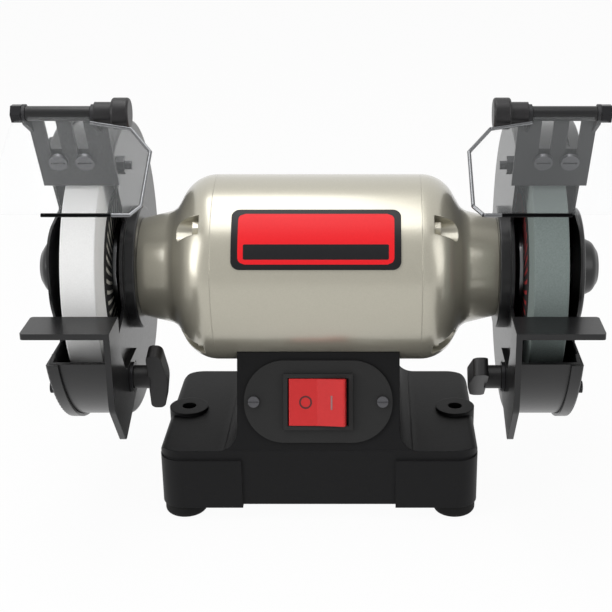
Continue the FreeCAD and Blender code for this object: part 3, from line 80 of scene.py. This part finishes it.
def linear(hex_value: str) -> tuple[float, float, float, float]:
    """Turn an sRGB hex colour to linear RGBA.

    Args:
        hex_value: Six hex digits with a leading hash.
    Returns:
        Linear red, green, blue and an alpha of one.
    """
    parts = [int(hex_value[i : i + 2], 16) / 255 for i in (1, 3, 5)]
    red, green, blue = [p / 12.92 if p <= 0.04045 else ((p + 0.055) / 1.055) ** 2.4 for p in parts]
    return red, green, blue, 1.0


def add_node(
    tree: bpy.types.NodeTree, kind: str, links: dict[Any, Any] | None = None, **settings: Any
) -> bpy.types.Node:
    """Add a shader node, set it up and link it.

    Args:
        tree: Node tree that gets the node.
        kind: Blender's node type.
        links: Input name or index to a value or to an output socket.
        **settings: Attributes of the node.
    Returns:
        The new node.
    """
    node = tree.nodes.new(kind)
    for key, value in settings.items():
        setattr(node, key, value)
    for key, value in (links or {}).items():
        if isinstance(value, bpy.types.NodeSocket):
            tree.links.new(value, node.inputs[key])
        else:
            node.inputs[key].default_value = value
    return node


@dataclass(frozen=True)
class Finish:
    """A surface made of one material: two close tones, a grain and a fine bump.

    Attributes:
        name: Material name.
        tone: Main sRGB colour.
        other: Second sRGB colour that the grain mixes in.
        grain_mm: Size of the grain in millimetres.
        roughness: Lowest and highest roughness.
        metallic: Metallic value.
        bump_mm: Height of the bump in millimetres.
        coat: Clear coat weight.
        coat_roughness: Roughness of that coat.
        stretch: Grain scale along X, Y and Z.
        soft_edge_mm: Radius of the rounded look along edges.
        specular: Specular level of a coating or plastic.
        alpha: Share of light that the surface stops.
        detail: Octaves of the grain and their falloff.
        edge_samples: Samples of the rounded look.
    """

    name: str
    tone: str
    other: str
    grain_mm: float
    roughness: tuple[float, float]
    metallic: float = 0.0
    bump_mm: float = 0.02
    coat: float = 0.0
    coat_roughness: float = 0.1
    stretch: tuple[float, float, float] = (1.0, 1.0, 1.0)
    soft_edge_mm: float = 0.4
    specular: float = 0.5
    alpha: float = 1.0
    detail: tuple[float, float] = (3.0, 0.6)
    edge_samples: int = 4

    def tones(
        self, tree: bpy.types.NodeTree, noise: bpy.types.Node, place: bpy.types.Node
    ) -> bpy.types.NodeSocket:
        """Mix the two tones by the grain.

        Args:
            tree: Material tree.
            noise: Grain texture node.
            place: Texture coordinate node.
        Returns:
            The colour output.
        """
        mix = add_node(
            tree,
            "ShaderNodeMix",
            {"Factor": noise.outputs["Fac"], MIX_A: linear(self.tone), MIX_B: linear(self.other)},
            data_type="RGBA",
        )
        return mix.outputs[MIX_OUT]

    def make(self) -> bpy.types.Material:
        """Build the material.

        Returns:
            The new material with its shader nodes.
        """
        material = bpy.data.materials.new(self.name)
        material.use_nodes = True
        tree = material.node_tree
        shader = tree.nodes["Principled BSDF"]
        place = add_node(tree, "ShaderNodeTexCoord")
        spread = add_node(
            tree, "ShaderNodeMapping", {"Vector": place.outputs["Object"], "Scale": self.stretch}
        )
        noise = add_node(
            tree,
            "ShaderNodeTexNoise",
            {
                "Vector": spread.outputs["Vector"],
                "Scale": 1 / (self.grain_mm * MM),
                "Detail": self.detail[0],
                "Roughness": self.detail[1],
            },
        )
        rough = add_node(
            tree,
            "ShaderNodeMapRange",
            {"Value": noise.outputs["Fac"], "To Min": self.roughness[0], "To Max": self.roughness[1]},
        )
        edge = add_node(
            tree, "ShaderNodeBevel", {"Radius": self.soft_edge_mm * MM}, samples=self.edge_samples
        )
        bump = add_node(
            tree,
            "ShaderNodeBump",
            {
                "Height": noise.outputs["Fac"],
                "Distance": self.bump_mm * MM,
                "Strength": 1.0,
                "Normal": edge.outputs["Normal"],
            },
        )
        tree.links.new(self.tones(tree, noise, place), shader.inputs["Base Color"])
        tree.links.new(rough.outputs["Result"], shader.inputs["Roughness"])
        tree.links.new(bump.outputs["Normal"], shader.inputs["Normal"])
        shader.inputs["Metallic"].default_value = self.metallic
        shader.inputs["Specular IOR Level"].default_value = self.specular
        shader.inputs["Coat Weight"].default_value = self.coat
        shader.inputs["Coat Roughness"].default_value = self.coat_roughness
        shader.inputs["Alpha"].default_value = self.alpha
        return material


@dataclass(frozen=True)
class StripedPaper(Finish):
    """Printed paper disc: leaning strokes in a ring, one ink on each side of the grinder.

    Attributes:
        centre: Y and Z of the middle.
        strokes: Number of strokes round the ring.
        lean: Share of a stroke's pitch that it leans for each metre outwards.
        gap_share: Share of the pitch that is left bare.
        ring_mm: Inner and outer radius of the strokes.
        left_ink: Colour of the strokes on the left.
        right_ink: Colour of the strokes on the right.
    """

    centre: tuple[float, float] = SPINDLE
    strokes: float = 40.0
    lean: float = 60.0
    gap_share: float = 0.62
    ring_mm: tuple[float, float] = (30.0, 46.0)
    left_ink: str = "#b9b6ac"
    right_ink: str = "#a02a2c"

    def tones(
        self, tree: bpy.types.NodeTree, noise: bpy.types.Node, place: bpy.types.Node
    ) -> bpy.types.NodeSocket:
        """Draw the strokes.

        Args:
            tree: Material tree.
            noise: Grain texture node.
            place: Texture coordinate node.
        Returns:
            The colour output.
        """
        axes = add_node(tree, "ShaderNodeSeparateXYZ", {"Vector": place.outputs["Object"]})
        made: dict[str, Any] = {name: axes.outputs[name] for name in "XYZ"}
        sums = (
            ("across", "SUBTRACT", "Y", self.centre[0]),
            ("above", "SUBTRACT", "Z", self.centre[1]),
            ("across_squared", "MULTIPLY", "across", "across"),
            ("above_squared", "MULTIPLY", "above", "above"),
            ("radius_squared", "ADD", "across_squared", "above_squared"),
            ("radius", "SQRT", "radius_squared", 0.0),
            ("angle", "ARCTAN2", "above", "across"),
            ("turn", "MULTIPLY", "angle", self.strokes / (2 * math.pi)),
            ("lean", "MULTIPLY", "radius", self.lean),
            ("swirl", "ADD", "turn", "lean"),
            ("positive", "ADD", "swirl", self.strokes),
            ("share", "FRACT", "positive", 0.0),
            ("stroke", "GREATER_THAN", "share", self.gap_share),
            ("inside", "GREATER_THAN", "radius", self.ring_mm[0] * MM),
            ("outside", "LESS_THAN", "radius", self.ring_mm[1] * MM),
            ("ring", "MULTIPLY", "inside", "outside"),
            ("shown", "MULTIPLY", "stroke", "ring"),
            ("right", "GREATER_THAN", "X", 0.0),
        )
        for name, kind, first, second in sums:
            terms = enumerate((first, second))
            links = {i: made[term] if isinstance(term, str) else term for i, term in terms}
            made[name] = add_node(tree, "ShaderNodeMath", links, operation=kind).outputs[0]
        paper = Finish.tones(self, tree, noise, place)
        ink = add_node(
            tree,
            "ShaderNodeMix",
            {"Factor": made["right"], MIX_A: linear(self.left_ink), MIX_B: linear(self.right_ink)},
            data_type="RGBA",
        )
        mix = add_node(
            tree,
            "ShaderNodeMix",
            {"Factor": made["shown"], MIX_A: paper, MIX_B: ink.outputs[MIX_OUT]},
            data_type="RGBA",
        )
        return mix.outputs[MIX_OUT]


@dataclass(frozen=True)
class PaintedReflectionWire(Finish):
    """Bright wire whose low outer run carries a painted dark reflection in black.

    Attributes:
        painted_reflection: Black that is painted in for a dark reflection.
        painted_reflection_z: Height that the painted reflection stays below, in metres.
        painted_reflection_x: Distance from the middle that the painted reflection starts at, in metres.
    """

    # Black painted on the low outer run in place of a dark reflection
    painted_reflection: str = "#101011"
    painted_reflection_z: float = 0.2236
    painted_reflection_x: float = 0.097

    def tones(
        self, tree: bpy.types.NodeTree, noise: bpy.types.Node, place: bpy.types.Node
    ) -> bpy.types.NodeSocket:
        """Mix the painted dark reflection in below one height and past one distance from the middle.

        Args:
            tree: Material tree.
            noise: Grain texture node.
            place: Texture coordinate node.
        Returns:
            The colour output.
        """
        bright = Finish.tones(self, tree, noise, place)
        axes = add_node(tree, "ShaderNodeSeparateXYZ", {"Vector": place.outputs["Object"]})
        below = {0: axes.outputs["Z"], 1: self.painted_reflection_z}
        low = add_node(tree, "ShaderNodeMath", below, operation="LESS_THAN")
        reach = add_node(tree, "ShaderNodeMath", {0: axes.outputs["X"]}, operation="ABSOLUTE")
        beyond = {0: reach.outputs[0], 1: self.painted_reflection_x}
        past = add_node(tree, "ShaderNodeMath", beyond, operation="GREATER_THAN")
        painted_reflection_terms = {0: low.outputs[0], 1: past.outputs[0]}
        both = add_node(tree, "ShaderNodeMath", painted_reflection_terms, operation="MULTIPLY")
        # Painted dark reflection: black mixed into the wire's colour below one height and past one distance
        # from the middle
        mix = add_node(
            tree,
            "ShaderNodeMix",
            {"Factor": both.outputs[0], MIX_A: bright, MIX_B: linear(self.painted_reflection)},
            data_type="RGBA",
        )
        return mix.outputs[MIX_OUT]


# Sprayed metallic paint on die-cast aluminium: a warm grey with a soft broad shine
MOTOR_PAINT = Finish(
    "metallic_paint_champagne", "#bcb8a9", "#b0ac9d",
    grain_mm=0.9, roughness=(0.26, 0.32), metallic=0.5, bump_mm=0.01, coat=0.6, coat_roughness=0.12,
    soft_edge_mm=0.8,
)
# Black enamel on cast iron: fine orange peel, low sheen
BASE_ENAMEL = Finish(
    "cast_iron_black_enamel", "#141415", "#181819",
    grain_mm=1.6, roughness=(0.46, 0.56), bump_mm=0.05, soft_edge_mm=1.0, specular=0.14,
)
# Powder coat on pressed sheet: smooth and glossy, so it mirrors the room at a glancing angle
GUARD_PAINT = Finish(
    "pressed_steel_black_paint", "#151516", "#19191a",
    grain_mm=2.2, roughness=(0.28, 0.36), bump_mm=0.03, coat=0.08, specular=0.36,
)
# Coated steel plate: dark grey and dull
PLATE_COAT = Finish(
    "steel_plate_dark_coat", "#2c2c2e", "#262628",
    grain_mm=1.2, roughness=(0.46, 0.54), metallic=0.3, bump_mm=0.02,
)
# Zinc-plated fasteners: pale metal with a fine mottle
ZINC = Finish(
    "zinc_plated_steel", "#c4c5c6", "#a9aaab",
    grain_mm=0.8, roughness=(0.28, 0.4), metallic=1.0, bump_mm=0.01,
)
# Black oxide fasteners: dark metal with a slight shine
BLACK_OXIDE = Finish(
    "black_oxide_steel", "#262628", "#1e1e20",
    grain_mm=0.8, roughness=(0.32, 0.42), metallic=0.7, bump_mm=0.01,
)
# Dull zinc: grey metal that has lost its shine
DULL_ZINC = Finish(
    "dull_zinc_steel", "#67676a", "#545457",
    grain_mm=0.8, roughness=(0.36, 0.46), metallic=0.8, bump_mm=0.01,
)
# Turned and ground steel: drawn along the circle of turning
TURNED_STEEL = Finish(
    "turned_steel", "#b8b9ba", "#9d9ea0",
    grain_mm=0.5, roughness=(0.25, 0.38), metallic=1.0, bump_mm=0.01, stretch=(6.0, 1.0, 1.0),
)
# Chrome-plated spring wire: a clean mirror, with a painted dark reflection in black on the low outer run
CHROME = PaintedReflectionWire(
    "chrome_plated_wire", "#7c7d7f", "#6a6b6d",
    grain_mm=6.0, roughness=(0.08, 0.14), metallic=1.0, bump_mm=0.004,
)
# Moulded phenolic knobs: near black with a slight shine
KNOB_PLASTIC = Finish(
    "moulded_phenolic_black", "#1b1a1b", "#222122",
    grain_mm=1.1, roughness=(0.36, 0.46), bump_mm=0.03, soft_edge_mm=0.8, specular=0.35,
)
# Moulded switch plate: black plastic with a fine spark texture
PLATE_PLASTIC = Finish(
    "moulded_plate_black", "#1e1e1e", "#232323",
    grain_mm=0.7, roughness=(0.42, 0.52), bump_mm=0.04, specular=0.3,
)
# Moulded polycarbonate rocker: clear strong red with gloss
ROCKER_RED = Finish(
    "moulded_rocker_red", "#d03031", "#c82a2b",
    grain_mm=3.0, roughness=(0.3, 0.36), bump_mm=0.01, specular=0.3,
)
# Moulded rubber: dull and dark
RUBBER = Finish(
    "moulded_rubber", "#0d0d0d", "#131313",
    grain_mm=1.3, roughness=(0.7, 0.82), bump_mm=0.05, specular=0.2,
)
# White aluminium oxide, vitrified: bright open grain, drawn coarser than the true grit so that it shows
WHITE_OXIDE = Finish(
    "vitrified_oxide_white", "#fbfbfa", "#ececeb",
    grain_mm=0.9, roughness=(0.85, 0.95), bump_mm=0.12, soft_edge_mm=0.6,
)
# Green-grey silicon carbide, vitrified: darker open grain, drawn coarser than the true grit so that it shows
GREY_CARBIDE = Finish(
    "vitrified_carbide_grey", "#87928f", "#66716f",
    grain_mm=0.9, roughness=(0.8, 0.92), bump_mm=0.12, soft_edge_mm=0.6,
)
# Coated paper: near black with printed strokes
BLOTTER = StripedPaper(
    "printed_blotter_paper", "#1c1b1c", "#242324",
    grain_mm=1.0, roughness=(0.55, 0.65), bump_mm=0.01,
)
# Printed aluminium sheet: black ground and red panel under a satin varnish
LABEL_BLACK = Finish(
    "printed_sheet_black", "#131215", "#19181b",
    grain_mm=1.5, roughness=(0.36, 0.42), bump_mm=0.004, specular=0.25,
)
LABEL_RED = Finish(
    "printed_sheet_red", "#f01a24", "#e8161f",
    grain_mm=1.5, roughness=(0.36, 0.42), bump_mm=0.004, specular=0.25,
)
# Screen-printed inks on the rocker: a dark ring and a grey bar
MARK_DARK = Finish(
    "printed_ink_dark_red", "#4a1416", "#561a1c",
    grain_mm=1.0, roughness=(0.45, 0.5), bump_mm=0.004,
)
MARK_GREY = Finish(
    "printed_ink_grey", "#9a6c6d", "#8e6162",
    grain_mm=1.0, roughness=(0.45, 0.5), bump_mm=0.004,
)
# Clear acrylic sheet: almost unseen, with a faint cold tint
LENS_CLEAR = Finish(
    "clear_acrylic_sheet", "#eef3f4", "#f4f7f8",
    grain_mm=20.0, roughness=(0.05, 0.08), bump_mm=0.002, alpha=0.04,
)
# Laminated electrical steel and varnished copper, inside the motor
LAMINATION = Finish(
    "laminated_steel", "#77787a", "#5f6062",
    grain_mm=0.5, roughness=(0.4, 0.5), metallic=0.9, bump_mm=0.03, stretch=(4.0, 0.3, 0.3),
)
COPPER = Finish(
    "varnished_copper", "#a8602f", "#8a4a22",
    grain_mm=0.8, roughness=(0.3, 0.42), metallic=0.8, bump_mm=0.05,
)


def patch(name: str, rows: list[list[Vector]]) -> bpy.types.Object:
    """Make a smooth sheet from rows of points.

    Args:
        name: Object name.
        rows: Points in rows of equal length.
    Returns:
        The mesh object, linked to the scene.
    """
    mesh = bpy.data.meshes.new(name)
    shape = bmesh.new()
    made = [[shape.verts.new(p) for p in row] for row in rows]
    for near, far in zip(made, made[1:]):
        for i in range(len(near) - 1):
            shape.faces.new((near[i], near[i + 1], far[i + 1], far[i]))
    shape.to_mesh(mesh)
    shape.free()
    mesh.polygons.foreach_set("use_smooth", [True] * len(mesh.polygons))
    obj = bpy.data.objects.new(name, mesh)
    bpy.context.scene.collection.objects.link(obj)
    return obj


@dataclass
class Dresser:
    """Keeps the frame and one material per finish.

    Attributes:
        made: Materials made so far, by name.
    """

    frame: dict[str, Any]
    made: dict[str, bpy.types.Material] = field(default_factory=dict)

    def material(self, finish: Finish) -> bpy.types.Material:
        """Return the material of a finish, built once.

        Args:
            finish: Finish to look up.
        Returns:
            Its material.
        """
        if finish.name not in self.made:
            self.made[finish.name] = finish.make()
        return self.made[finish.name]

    def wear(self, finish: Finish, *nodes: str) -> None:
        """Give CAD nodes a finish.

        Args:
            finish: Finish to wear.
            *nodes: Node names.
        """
        for name in nodes:
            slots = self.frame["nodes"][name].data.materials
            slots.clear()
            slots.append(self.material(finish))
            log.info("%s wears %s", name, finish.name)

    def add(self, piece: bpy.types.Object, finish: Finish, body: str, slot: str) -> None:
        """Dress a new piece and let it ride.

        Args:
            piece: The new object.
            finish: Finish to wear.
            body: Body that carries it.
            slot: Not used.
        """
        piece.data.materials.append(self.material(finish))
        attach(piece, body)
        log.info("%s rides on %s", piece.name, body)


@dataclass
class Motor:
    """Motor, base and switch.

    Attributes:
        axis: Y and Z of the spindle.
        label_radius: Radius of the label's outer face.
        label_half: Half of the label's width.
        label_top_deg: Angle of the label's top edge above the front.
        label_low_deg: Angle of its low edge.
        border: Black border above and below the red panel.
        side_border: Black border at its sides.
        strip_low: Height of the black strip's low edge above the label's low edge.
        strip_high: Height of its top edge.
        strip_inset: Distance of the strip's ends from the label's ends.
        strip_lift: Height of the strip above the red panel.
        strip_corner: Corner radius of the strip.
        corner: Corner radius of the red panel.
        panel_steps: Rows and columns of a printed panel.
        rocker_rest_deg: Angle of the rocker at rest.
        rocker_half: Half of the rocker's width.
        rocker_end: Height of the rocker's ends above the pivot.
        rocker_middle: Height of its middle.
        mark_lift: Height of the marks above the rocker.
        ring_at: Distance of the ring from the middle, to the left.
        ring_half: Half width and half height of the ring.
        ring_share: Inner size of the ring as a share of the outer size.
        ring_steps: Points round the ring.
        bar_at: Distance of the bar from the middle, to the right.
        bar_half: Half width and half height of the bar.
    """

    axis: tuple[float, float] = SPINDLE
    label_radius: float = 58.36 * MM
    label_half: float = 49.5 * MM
    label_top_deg: float = 54.0
    label_low_deg: float = 17.0
    border: float = 3.2 * MM
    side_border: float = 4.0 * MM
    strip_low: float = 6.0 * MM
    strip_high: float = 15.0 * MM
    strip_inset: float = 7.2 * MM
    strip_lift: float = 0.06 * MM
    strip_corner: float = 0.8 * MM
    corner: float = 4.0 * MM
    panel_steps: tuple[int, int] = (28, 24)
    rocker_rest_deg: float = 9.0
    rocker_half: float = 17.3 * MM
    rocker_end: float = 5.0 * MM
    rocker_middle: float = 2.8 * MM
    mark_lift: float = 0.12 * MM
    ring_at: float = 7.0 * MM
    ring_half: tuple[float, float] = (3.9 * MM, 4.0 * MM)
    ring_share: float = 0.74
    ring_steps: int = 48
    bar_at: float = 9.0 * MM
    bar_half: tuple[float, float] = (0.55 * MM, 4.2 * MM)

    def field_rows(
        self, low: float, high: float, half: float, rounded: float, lift: float
    ) -> list[list[Vector]]:
        """Give the points of a curved printed panel.

        Args:
            low: Height of the low edge above the label's low edge, along the curve, in metres.
            high: Height of the top edge in the same way.
            half: Half width in metres.
            rounded: Corner radius in metres.
            lift: Height above the label in metres.
        Returns:
            Rows of points from the low edge up.
        """
        rows = []
        steps, columns = self.panel_steps
        radius = self.label_radius + lift
        for i in range(steps + 1):
            along = (high - low) * i / steps
            near = min(along, high - low - along)
            cut = rounded - math.sqrt(max(rounded**2 - max(rounded - near, 0.0) ** 2, 0.0))
            angle = math.radians(self.label_low_deg) + (low + along) / self.label_radius
            y = self.axis[0] - radius * math.cos(angle)
            z = self.axis[1] + radius * math.sin(angle)
            rows.append([Vector(((half - cut) * (1 - 2 * j / columns), y, z)) for j in range(columns + 1)])
        return rows

    def build(self, dresser: Dresser) -> None:
        """Add the printed panels and the rocker's marks.

        Args:
            dresser: Keeper of the frame and materials.
        """
        arc = math.radians(self.label_top_deg - self.label_low_deg) * self.label_radius
        red_half = self.label_half - self.side_border
        red = self.field_rows(self.border, arc - self.border, red_half, self.corner, 0.0)
        dresser.add(patch("label_red_panel", red), LABEL_RED, "stand", "label_sheet")
        strip_half = self.label_half - self.strip_inset
        strip = self.field_rows(
            self.strip_low, self.strip_high, strip_half, self.strip_corner, self.strip_lift
        )
        dresser.add(patch("label_black_strip", strip), LABEL_BLACK, "stand", "label_sheet")
        self.marks(dresser)

    def marks(self, dresser: Dresser) -> None:
        """Print a ring on the left half of the rocker and a bar on the right half.

        Args:
            dresser: Keeper of the frame and materials.
        """
        joint = next(j for j in dresser.frame["joints"] if j["name"] == "switch_rock")
        up = Vector(joint["axis"]).normalized()
        across = Vector((1, 0, 0))
        out = across.cross(up).normalized()
        rest = Matrix.Rotation(math.radians(-self.rocker_rest_deg), 3, up)
        rise = (self.rocker_end - self.rocker_middle) / self.rocker_half
        spots = (
            ("mark_off", -1, self.ring_at, self.ring, MARK_DARK),
            ("mark_on", 1, self.bar_at, self.bar, MARK_GREY),
        )
        for name, side, at, shape, ink in spots:
            right = rest @ (across + out * side * rise).normalized()
            normal = right.cross(up).normalized()
            lift = self.rocker_middle + rise * at
            face = Vector(joint["pos_m"]) + rest @ (across * side * at + out * lift)
            centre = face + normal * self.mark_lift
            dresser.add(patch(name, shape(centre, right, up)), ink, "rocker", "red_plastic")

    def ring(self, centre: Vector, right: Vector, up: Vector) -> list[list[Vector]]:
        """Give the points of a flat ring.

        Args:
            centre: Middle of the ring.
            right: Direction across the rocker's face.
            up: Direction along the rocker's pivot.
        Returns:
            Pairs of inner and outer points round the ring.
        """
        rows = []
        for i in range(self.ring_steps + 1):
            turn = 2 * math.pi * i / self.ring_steps
            ray = right * math.cos(turn) * self.ring_half[0] + up * math.sin(turn) * self.ring_half[1]
            rows.append([centre + ray * self.ring_share, centre + ray])
        return rows

    def bar(self, centre: Vector, right: Vector, up: Vector) -> list[list[Vector]]:
        """Give the points of a flat upright bar."""
        side, rise = right * self.bar_half[0], up * self.bar_half[1]
        return [[centre - side + rise, centre + side + rise], [centre - side - rise, centre + side - rise]]

    def dress(self, dresser: Dresser) -> None:
        """Give the motor, base and switch their finishes.

        Args:
            dresser: Keeper of the frame and materials.
        """
        dresser.wear(MOTOR_PAINT, "motor_barrel", "end_bell_left", "end_bell_right", "tie_bolts")
        dresser.wear(BASE_ENAMEL, "base_casting", "pedestal_casting")
        dresser.wear(LABEL_BLACK, "name_plate")
        dresser.wear(PLATE_PLASTIC, "switch_plate", "switch_housing", "terminal_block", "cord_gland")
        dresser.wear(ROCKER_RED, "switch_rocker")
        dresser.wear(RUBBER, "rubber_feet")
        dresser.wear(ZINC, "bottom_cover", "foot_screws", "saddle_bolts", "capacitor")
        dresser.wear(DULL_ZINC, "switch_plate_screws")
        dresser.wear(LAMINATION, "stator_core", "rotor_core")
        dresser.wear(COPPER, "stator_windings")
        dresser.wear(TURNED_STEEL, "bearing_outer_rings", "bearing_inner_rings", "shaft")


@dataclass
class WheelEnd:
    """Wheel, guard, tool rest and eye shield of one side.

    Attributes:
        side: End of the spindle.
    """

    side: Side

    def dress(self, dresser: Dresser) -> None:
        """Give this end its finishes.

        Args:
            dresser: Keeper of the frame and materials.
        """
        node = self.side.node
        dresser.wear(WHITE_OXIDE if self.side is Side.LEFT else GREY_CARBIDE, node("wheel"))
        dresser.wear(GUARD_PAINT, node("guard_drum"), node("guard_cover"))
        dresser.wear(GUARD_PAINT, node("tool_rest"), node("shield_sleeve"))
        dresser.wear(PLATE_COAT, node("spark_plate"), node("shield_bracket"))
        dresser.wear(KNOB_PLASTIC, node("rest_knob"), node("shield_knob"))
        dresser.wear(BLACK_OXIDE, node("rest_slider"), node("pivot_bolt"))
        dresser.wear(CHROME, node("shield_wire"))
        dresser.wear(LENS_CLEAR, node("shield_lens"))


@dataclass
class Fasteners:
    """Small pieces that both ends share.

    Attributes:
        zinc: Zinc-plated nodes.
        black: Black oxide nodes.
    """

    zinc: tuple[str, ...] = ("guard_drum_screws", "spindle_nuts")
    black: tuple[str, ...] = ("rest_bolts", "bracket_bolts", "guard_cover_screws")

    def dress(self, dresser: Dresser) -> None:
        """Give the shared small pieces their finishes.

        Args:
            dresser: Keeper of the frame and materials.
        """
        dresser.wear(ZINC, *self.zinc)
        dresser.wear(BLACK_OXIDE, *self.black)
        dresser.wear(DULL_ZINC, "spark_plate_screws")
        dresser.wear(TURNED_STEEL, "inner_flanges", "outer_flanges")
        dresser.wear(BLOTTER, "wheel_blotters")


@dataclass(frozen=True)
class SoftBox:
    """One soft light that faces the object.

    Attributes:
        name: Light name.
        spot: Place in metres.
        size: Width and height in metres.
        power: Power in watts.
    """

    name: str
    spot: tuple[float, float, float]
    size: tuple[float, float]
    power: float


@dataclass
class Studio:
    """Floor, grey card, lights and camera.

    Attributes:
        target: Point that the lights face.
        distance: Distance of the camera from the target, seen from the side.
        height_deg: Angle of the line to the camera above level.
        tilt_deg: Angle of the camera below level.
        camera_x: Sideways place of the camera.
        focal_px: Focal length in pixels.
        frame_px: Width of the picture in pixels.
        centre_px: Optical centre in pixels.
        sensor_mm: Sensor width.
        floor_reach: Half size of the floor.
        floor_drop: Depth of the floor below the feet.
        floor_glow: Share of plain white that the camera sees on the floor.
        card_half: Half width of the grey card.
        card_z: Low and high edge of the card.
        card_y: Place of the card behind the camera.
        card_level: Brightness of the card.
        world_level: Brightness of the world for diffuse light.
        white: Colour of the background.
        floor_tone: Colour of the floor.
        card_tone: Colour of the card's own surface.
        matte: Roughness of floor and card.
        boxes: Soft lights.
    """

    target: tuple[float, float, float] = (0.0, *SPINDLE)
    distance: float = 0.790
    height_deg: float = 19.0
    tilt_deg: float = 20.786
    camera_x: float = 0.0325
    focal_px: float = 1264.0
    frame_px: float = 612.0
    centre_px: tuple[float, float] = (372.0, 306.0)
    sensor_mm: float = 36.0
    floor_reach: float = 6.0
    floor_drop: float = 0.0004
    floor_glow: float = 0.95
    card_half: float = 1.6
    card_z: tuple[float, float] = (0.1, 2.4)
    card_y: float = -1.5
    card_level: float = 0.62
    world_level: float = 0.35
    white: str = "#ffffff"
    floor_tone: str = "#f4f4f4"
    card_tone: str = "#303030"
    matte: float = 0.9
    boxes: tuple[SoftBox, ...] = (
        SoftBox("top_box", (-0.15, 0.0, 1.5), (1.3, 0.55), 9.0),
        SoftBox("left_box", (-1.3, -0.8, 0.8), (0.8, 1.2), 12.0),
        SoftBox("right_box", (1.3, -0.8, 0.8), (0.8, 1.2), 5.5),
    )

    def white_to_camera(self, tree: bpy.types.NodeTree) -> bpy.types.NodeSocket:
        """Pick out the rays that should see plain white.

        Args:
            tree: Node tree of the floor or the world.
        Returns:
            A factor that is one for camera, glossy and transmission rays.
        """
        path = add_node(tree, "ShaderNodeLightPath")
        seen = path.outputs["Is Camera Ray"]
        for extra in ("Is Glossy Ray", "Is Transmission Ray"):
            links = {0: seen, 1: path.outputs[extra]}
            seen = add_node(tree, "ShaderNodeMath", links, operation="MAXIMUM").outputs[0]
        return seen

    def build_floor(self) -> None:
        """Lay a wide pale floor that keeps a soft shadow."""
        ends = (-self.floor_reach, self.floor_reach)
        floor = patch("floor", [[Vector((x, y, -self.floor_drop)) for x in ends] for y in ends])
        material = bpy.data.materials.new("studio_floor_pale")
        material.use_nodes = True
        tree = material.node_tree
        shader = tree.nodes["Principled BSDF"]
        shader.inputs["Base Color"].default_value = linear(self.floor_tone)
        shader.inputs["Roughness"].default_value = self.matte
        glow = add_node(tree, "ShaderNodeEmission", {"Color": linear(self.white), "Strength": 1.0})
        seen = self.white_to_camera(tree)
        share = add_node(tree, "ShaderNodeMath", {0: seen, 1: self.floor_glow}, operation="MULTIPLY")
        mix = add_node(
            tree,
            "ShaderNodeMixShader",
            {0: share.outputs[0], 1: shader.outputs["BSDF"], 2: glow.outputs["Emission"]},
        )
        tree.links.new(mix.outputs["Shader"], tree.nodes["Material Output"].inputs["Surface"])
        floor.data.materials.append(material)

    def build_card(self) -> None:
        """Stand a tall grey card behind the camera, so that shiny curves show an even grey band."""
        ends = (-self.card_half, self.card_half)
        card = patch("card", [[Vector((x, self.card_y, z)) for x in ends] for z in self.card_z])
        material = bpy.data.materials.new("studio_card_grey")
        material.use_nodes = True
        shader = material.node_tree.nodes["Principled BSDF"]
        shader.inputs["Base Color"].default_value = linear(self.card_tone)
        shader.inputs["Roughness"].default_value = self.matte
        shader.inputs["Emission Color"].default_value = linear(self.white)
        shader.inputs["Emission Strength"].default_value = self.card_level
        card.data.materials.append(material)
        card.visible_camera = False
        card.visible_diffuse = False

    def build_world(self) -> None:
        """Set a pale world that looks white to the camera."""
        world = bpy.data.worlds.new("studio")
        bpy.context.scene.world = world
        world.use_nodes = True
        tree = world.node_tree
        back = tree.nodes["Background"]
        back.inputs["Color"].default_value = linear(self.white)
        seen = self.white_to_camera(tree)
        level = add_node(
            tree, "ShaderNodeMapRange", {"Value": seen, "To Min": self.world_level, "To Max": 1.0}
        )
        tree.links.new(level.outputs["Result"], back.inputs["Strength"])

    def build_light(self, box: SoftBox) -> None:
        """Hang one soft box.

        Args:
            box: Its place, size and power.
        """
        data = bpy.data.lights.new(box.name, "AREA")
        data.shape = "RECTANGLE"
        data.size, data.size_y = box.size
        data.energy = box.power
        light = bpy.data.objects.new(box.name, data)
        light.location = box.spot
        light.rotation_euler = (Vector(self.target) - Vector(box.spot)).to_track_quat("-Z", "Y").to_euler()
        bpy.context.scene.collection.objects.link(light)

    def build_camera(self) -> None:
        """Set the camera at the photograph's view."""
        height, tilt = math.radians(self.height_deg), math.radians(self.tilt_deg)
        data = bpy.data.cameras.new("camera")
        data.sensor_width = self.sensor_mm
        data.lens = self.focal_px / self.frame_px * self.sensor_mm
        data.shift_x = (self.frame_px / 2 - self.centre_px[0]) / self.frame_px
        data.shift_y = (self.centre_px[1] - self.frame_px / 2) / self.frame_px
        camera = bpy.data.objects.new("camera", data)
        camera.location = (
            self.camera_x,
            self.target[1] - self.distance * math.cos(height),
            self.target[2] + self.distance * math.sin(height),
        )
        camera.rotation_euler = (math.pi / 2 - tilt, 0.0, 0.0)
        bpy.context.scene.collection.objects.link(camera)
        bpy.context.scene.camera = camera

    def build(self) -> None:
        """Build the whole studio."""
        bpy.context.scene.view_settings.view_transform = "Standard"
        self.build_floor()
        self.build_card()
        self.build_world()
        for box in self.boxes:
            self.build_light(box)
        self.build_camera()


def main() -> None:
    """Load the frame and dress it."""
    logging.basicConfig(level=logging.INFO)
    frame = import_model()
    dresser = Dresser(frame)
    motor = Motor()
    motor.dress(dresser)
    motor.build(dresser)
    for side in Side:
        WheelEnd(side).dress(dresser)
    Fasteners().dress(dresser)
    Studio().build()


if __name__ == "__main__":
    main()
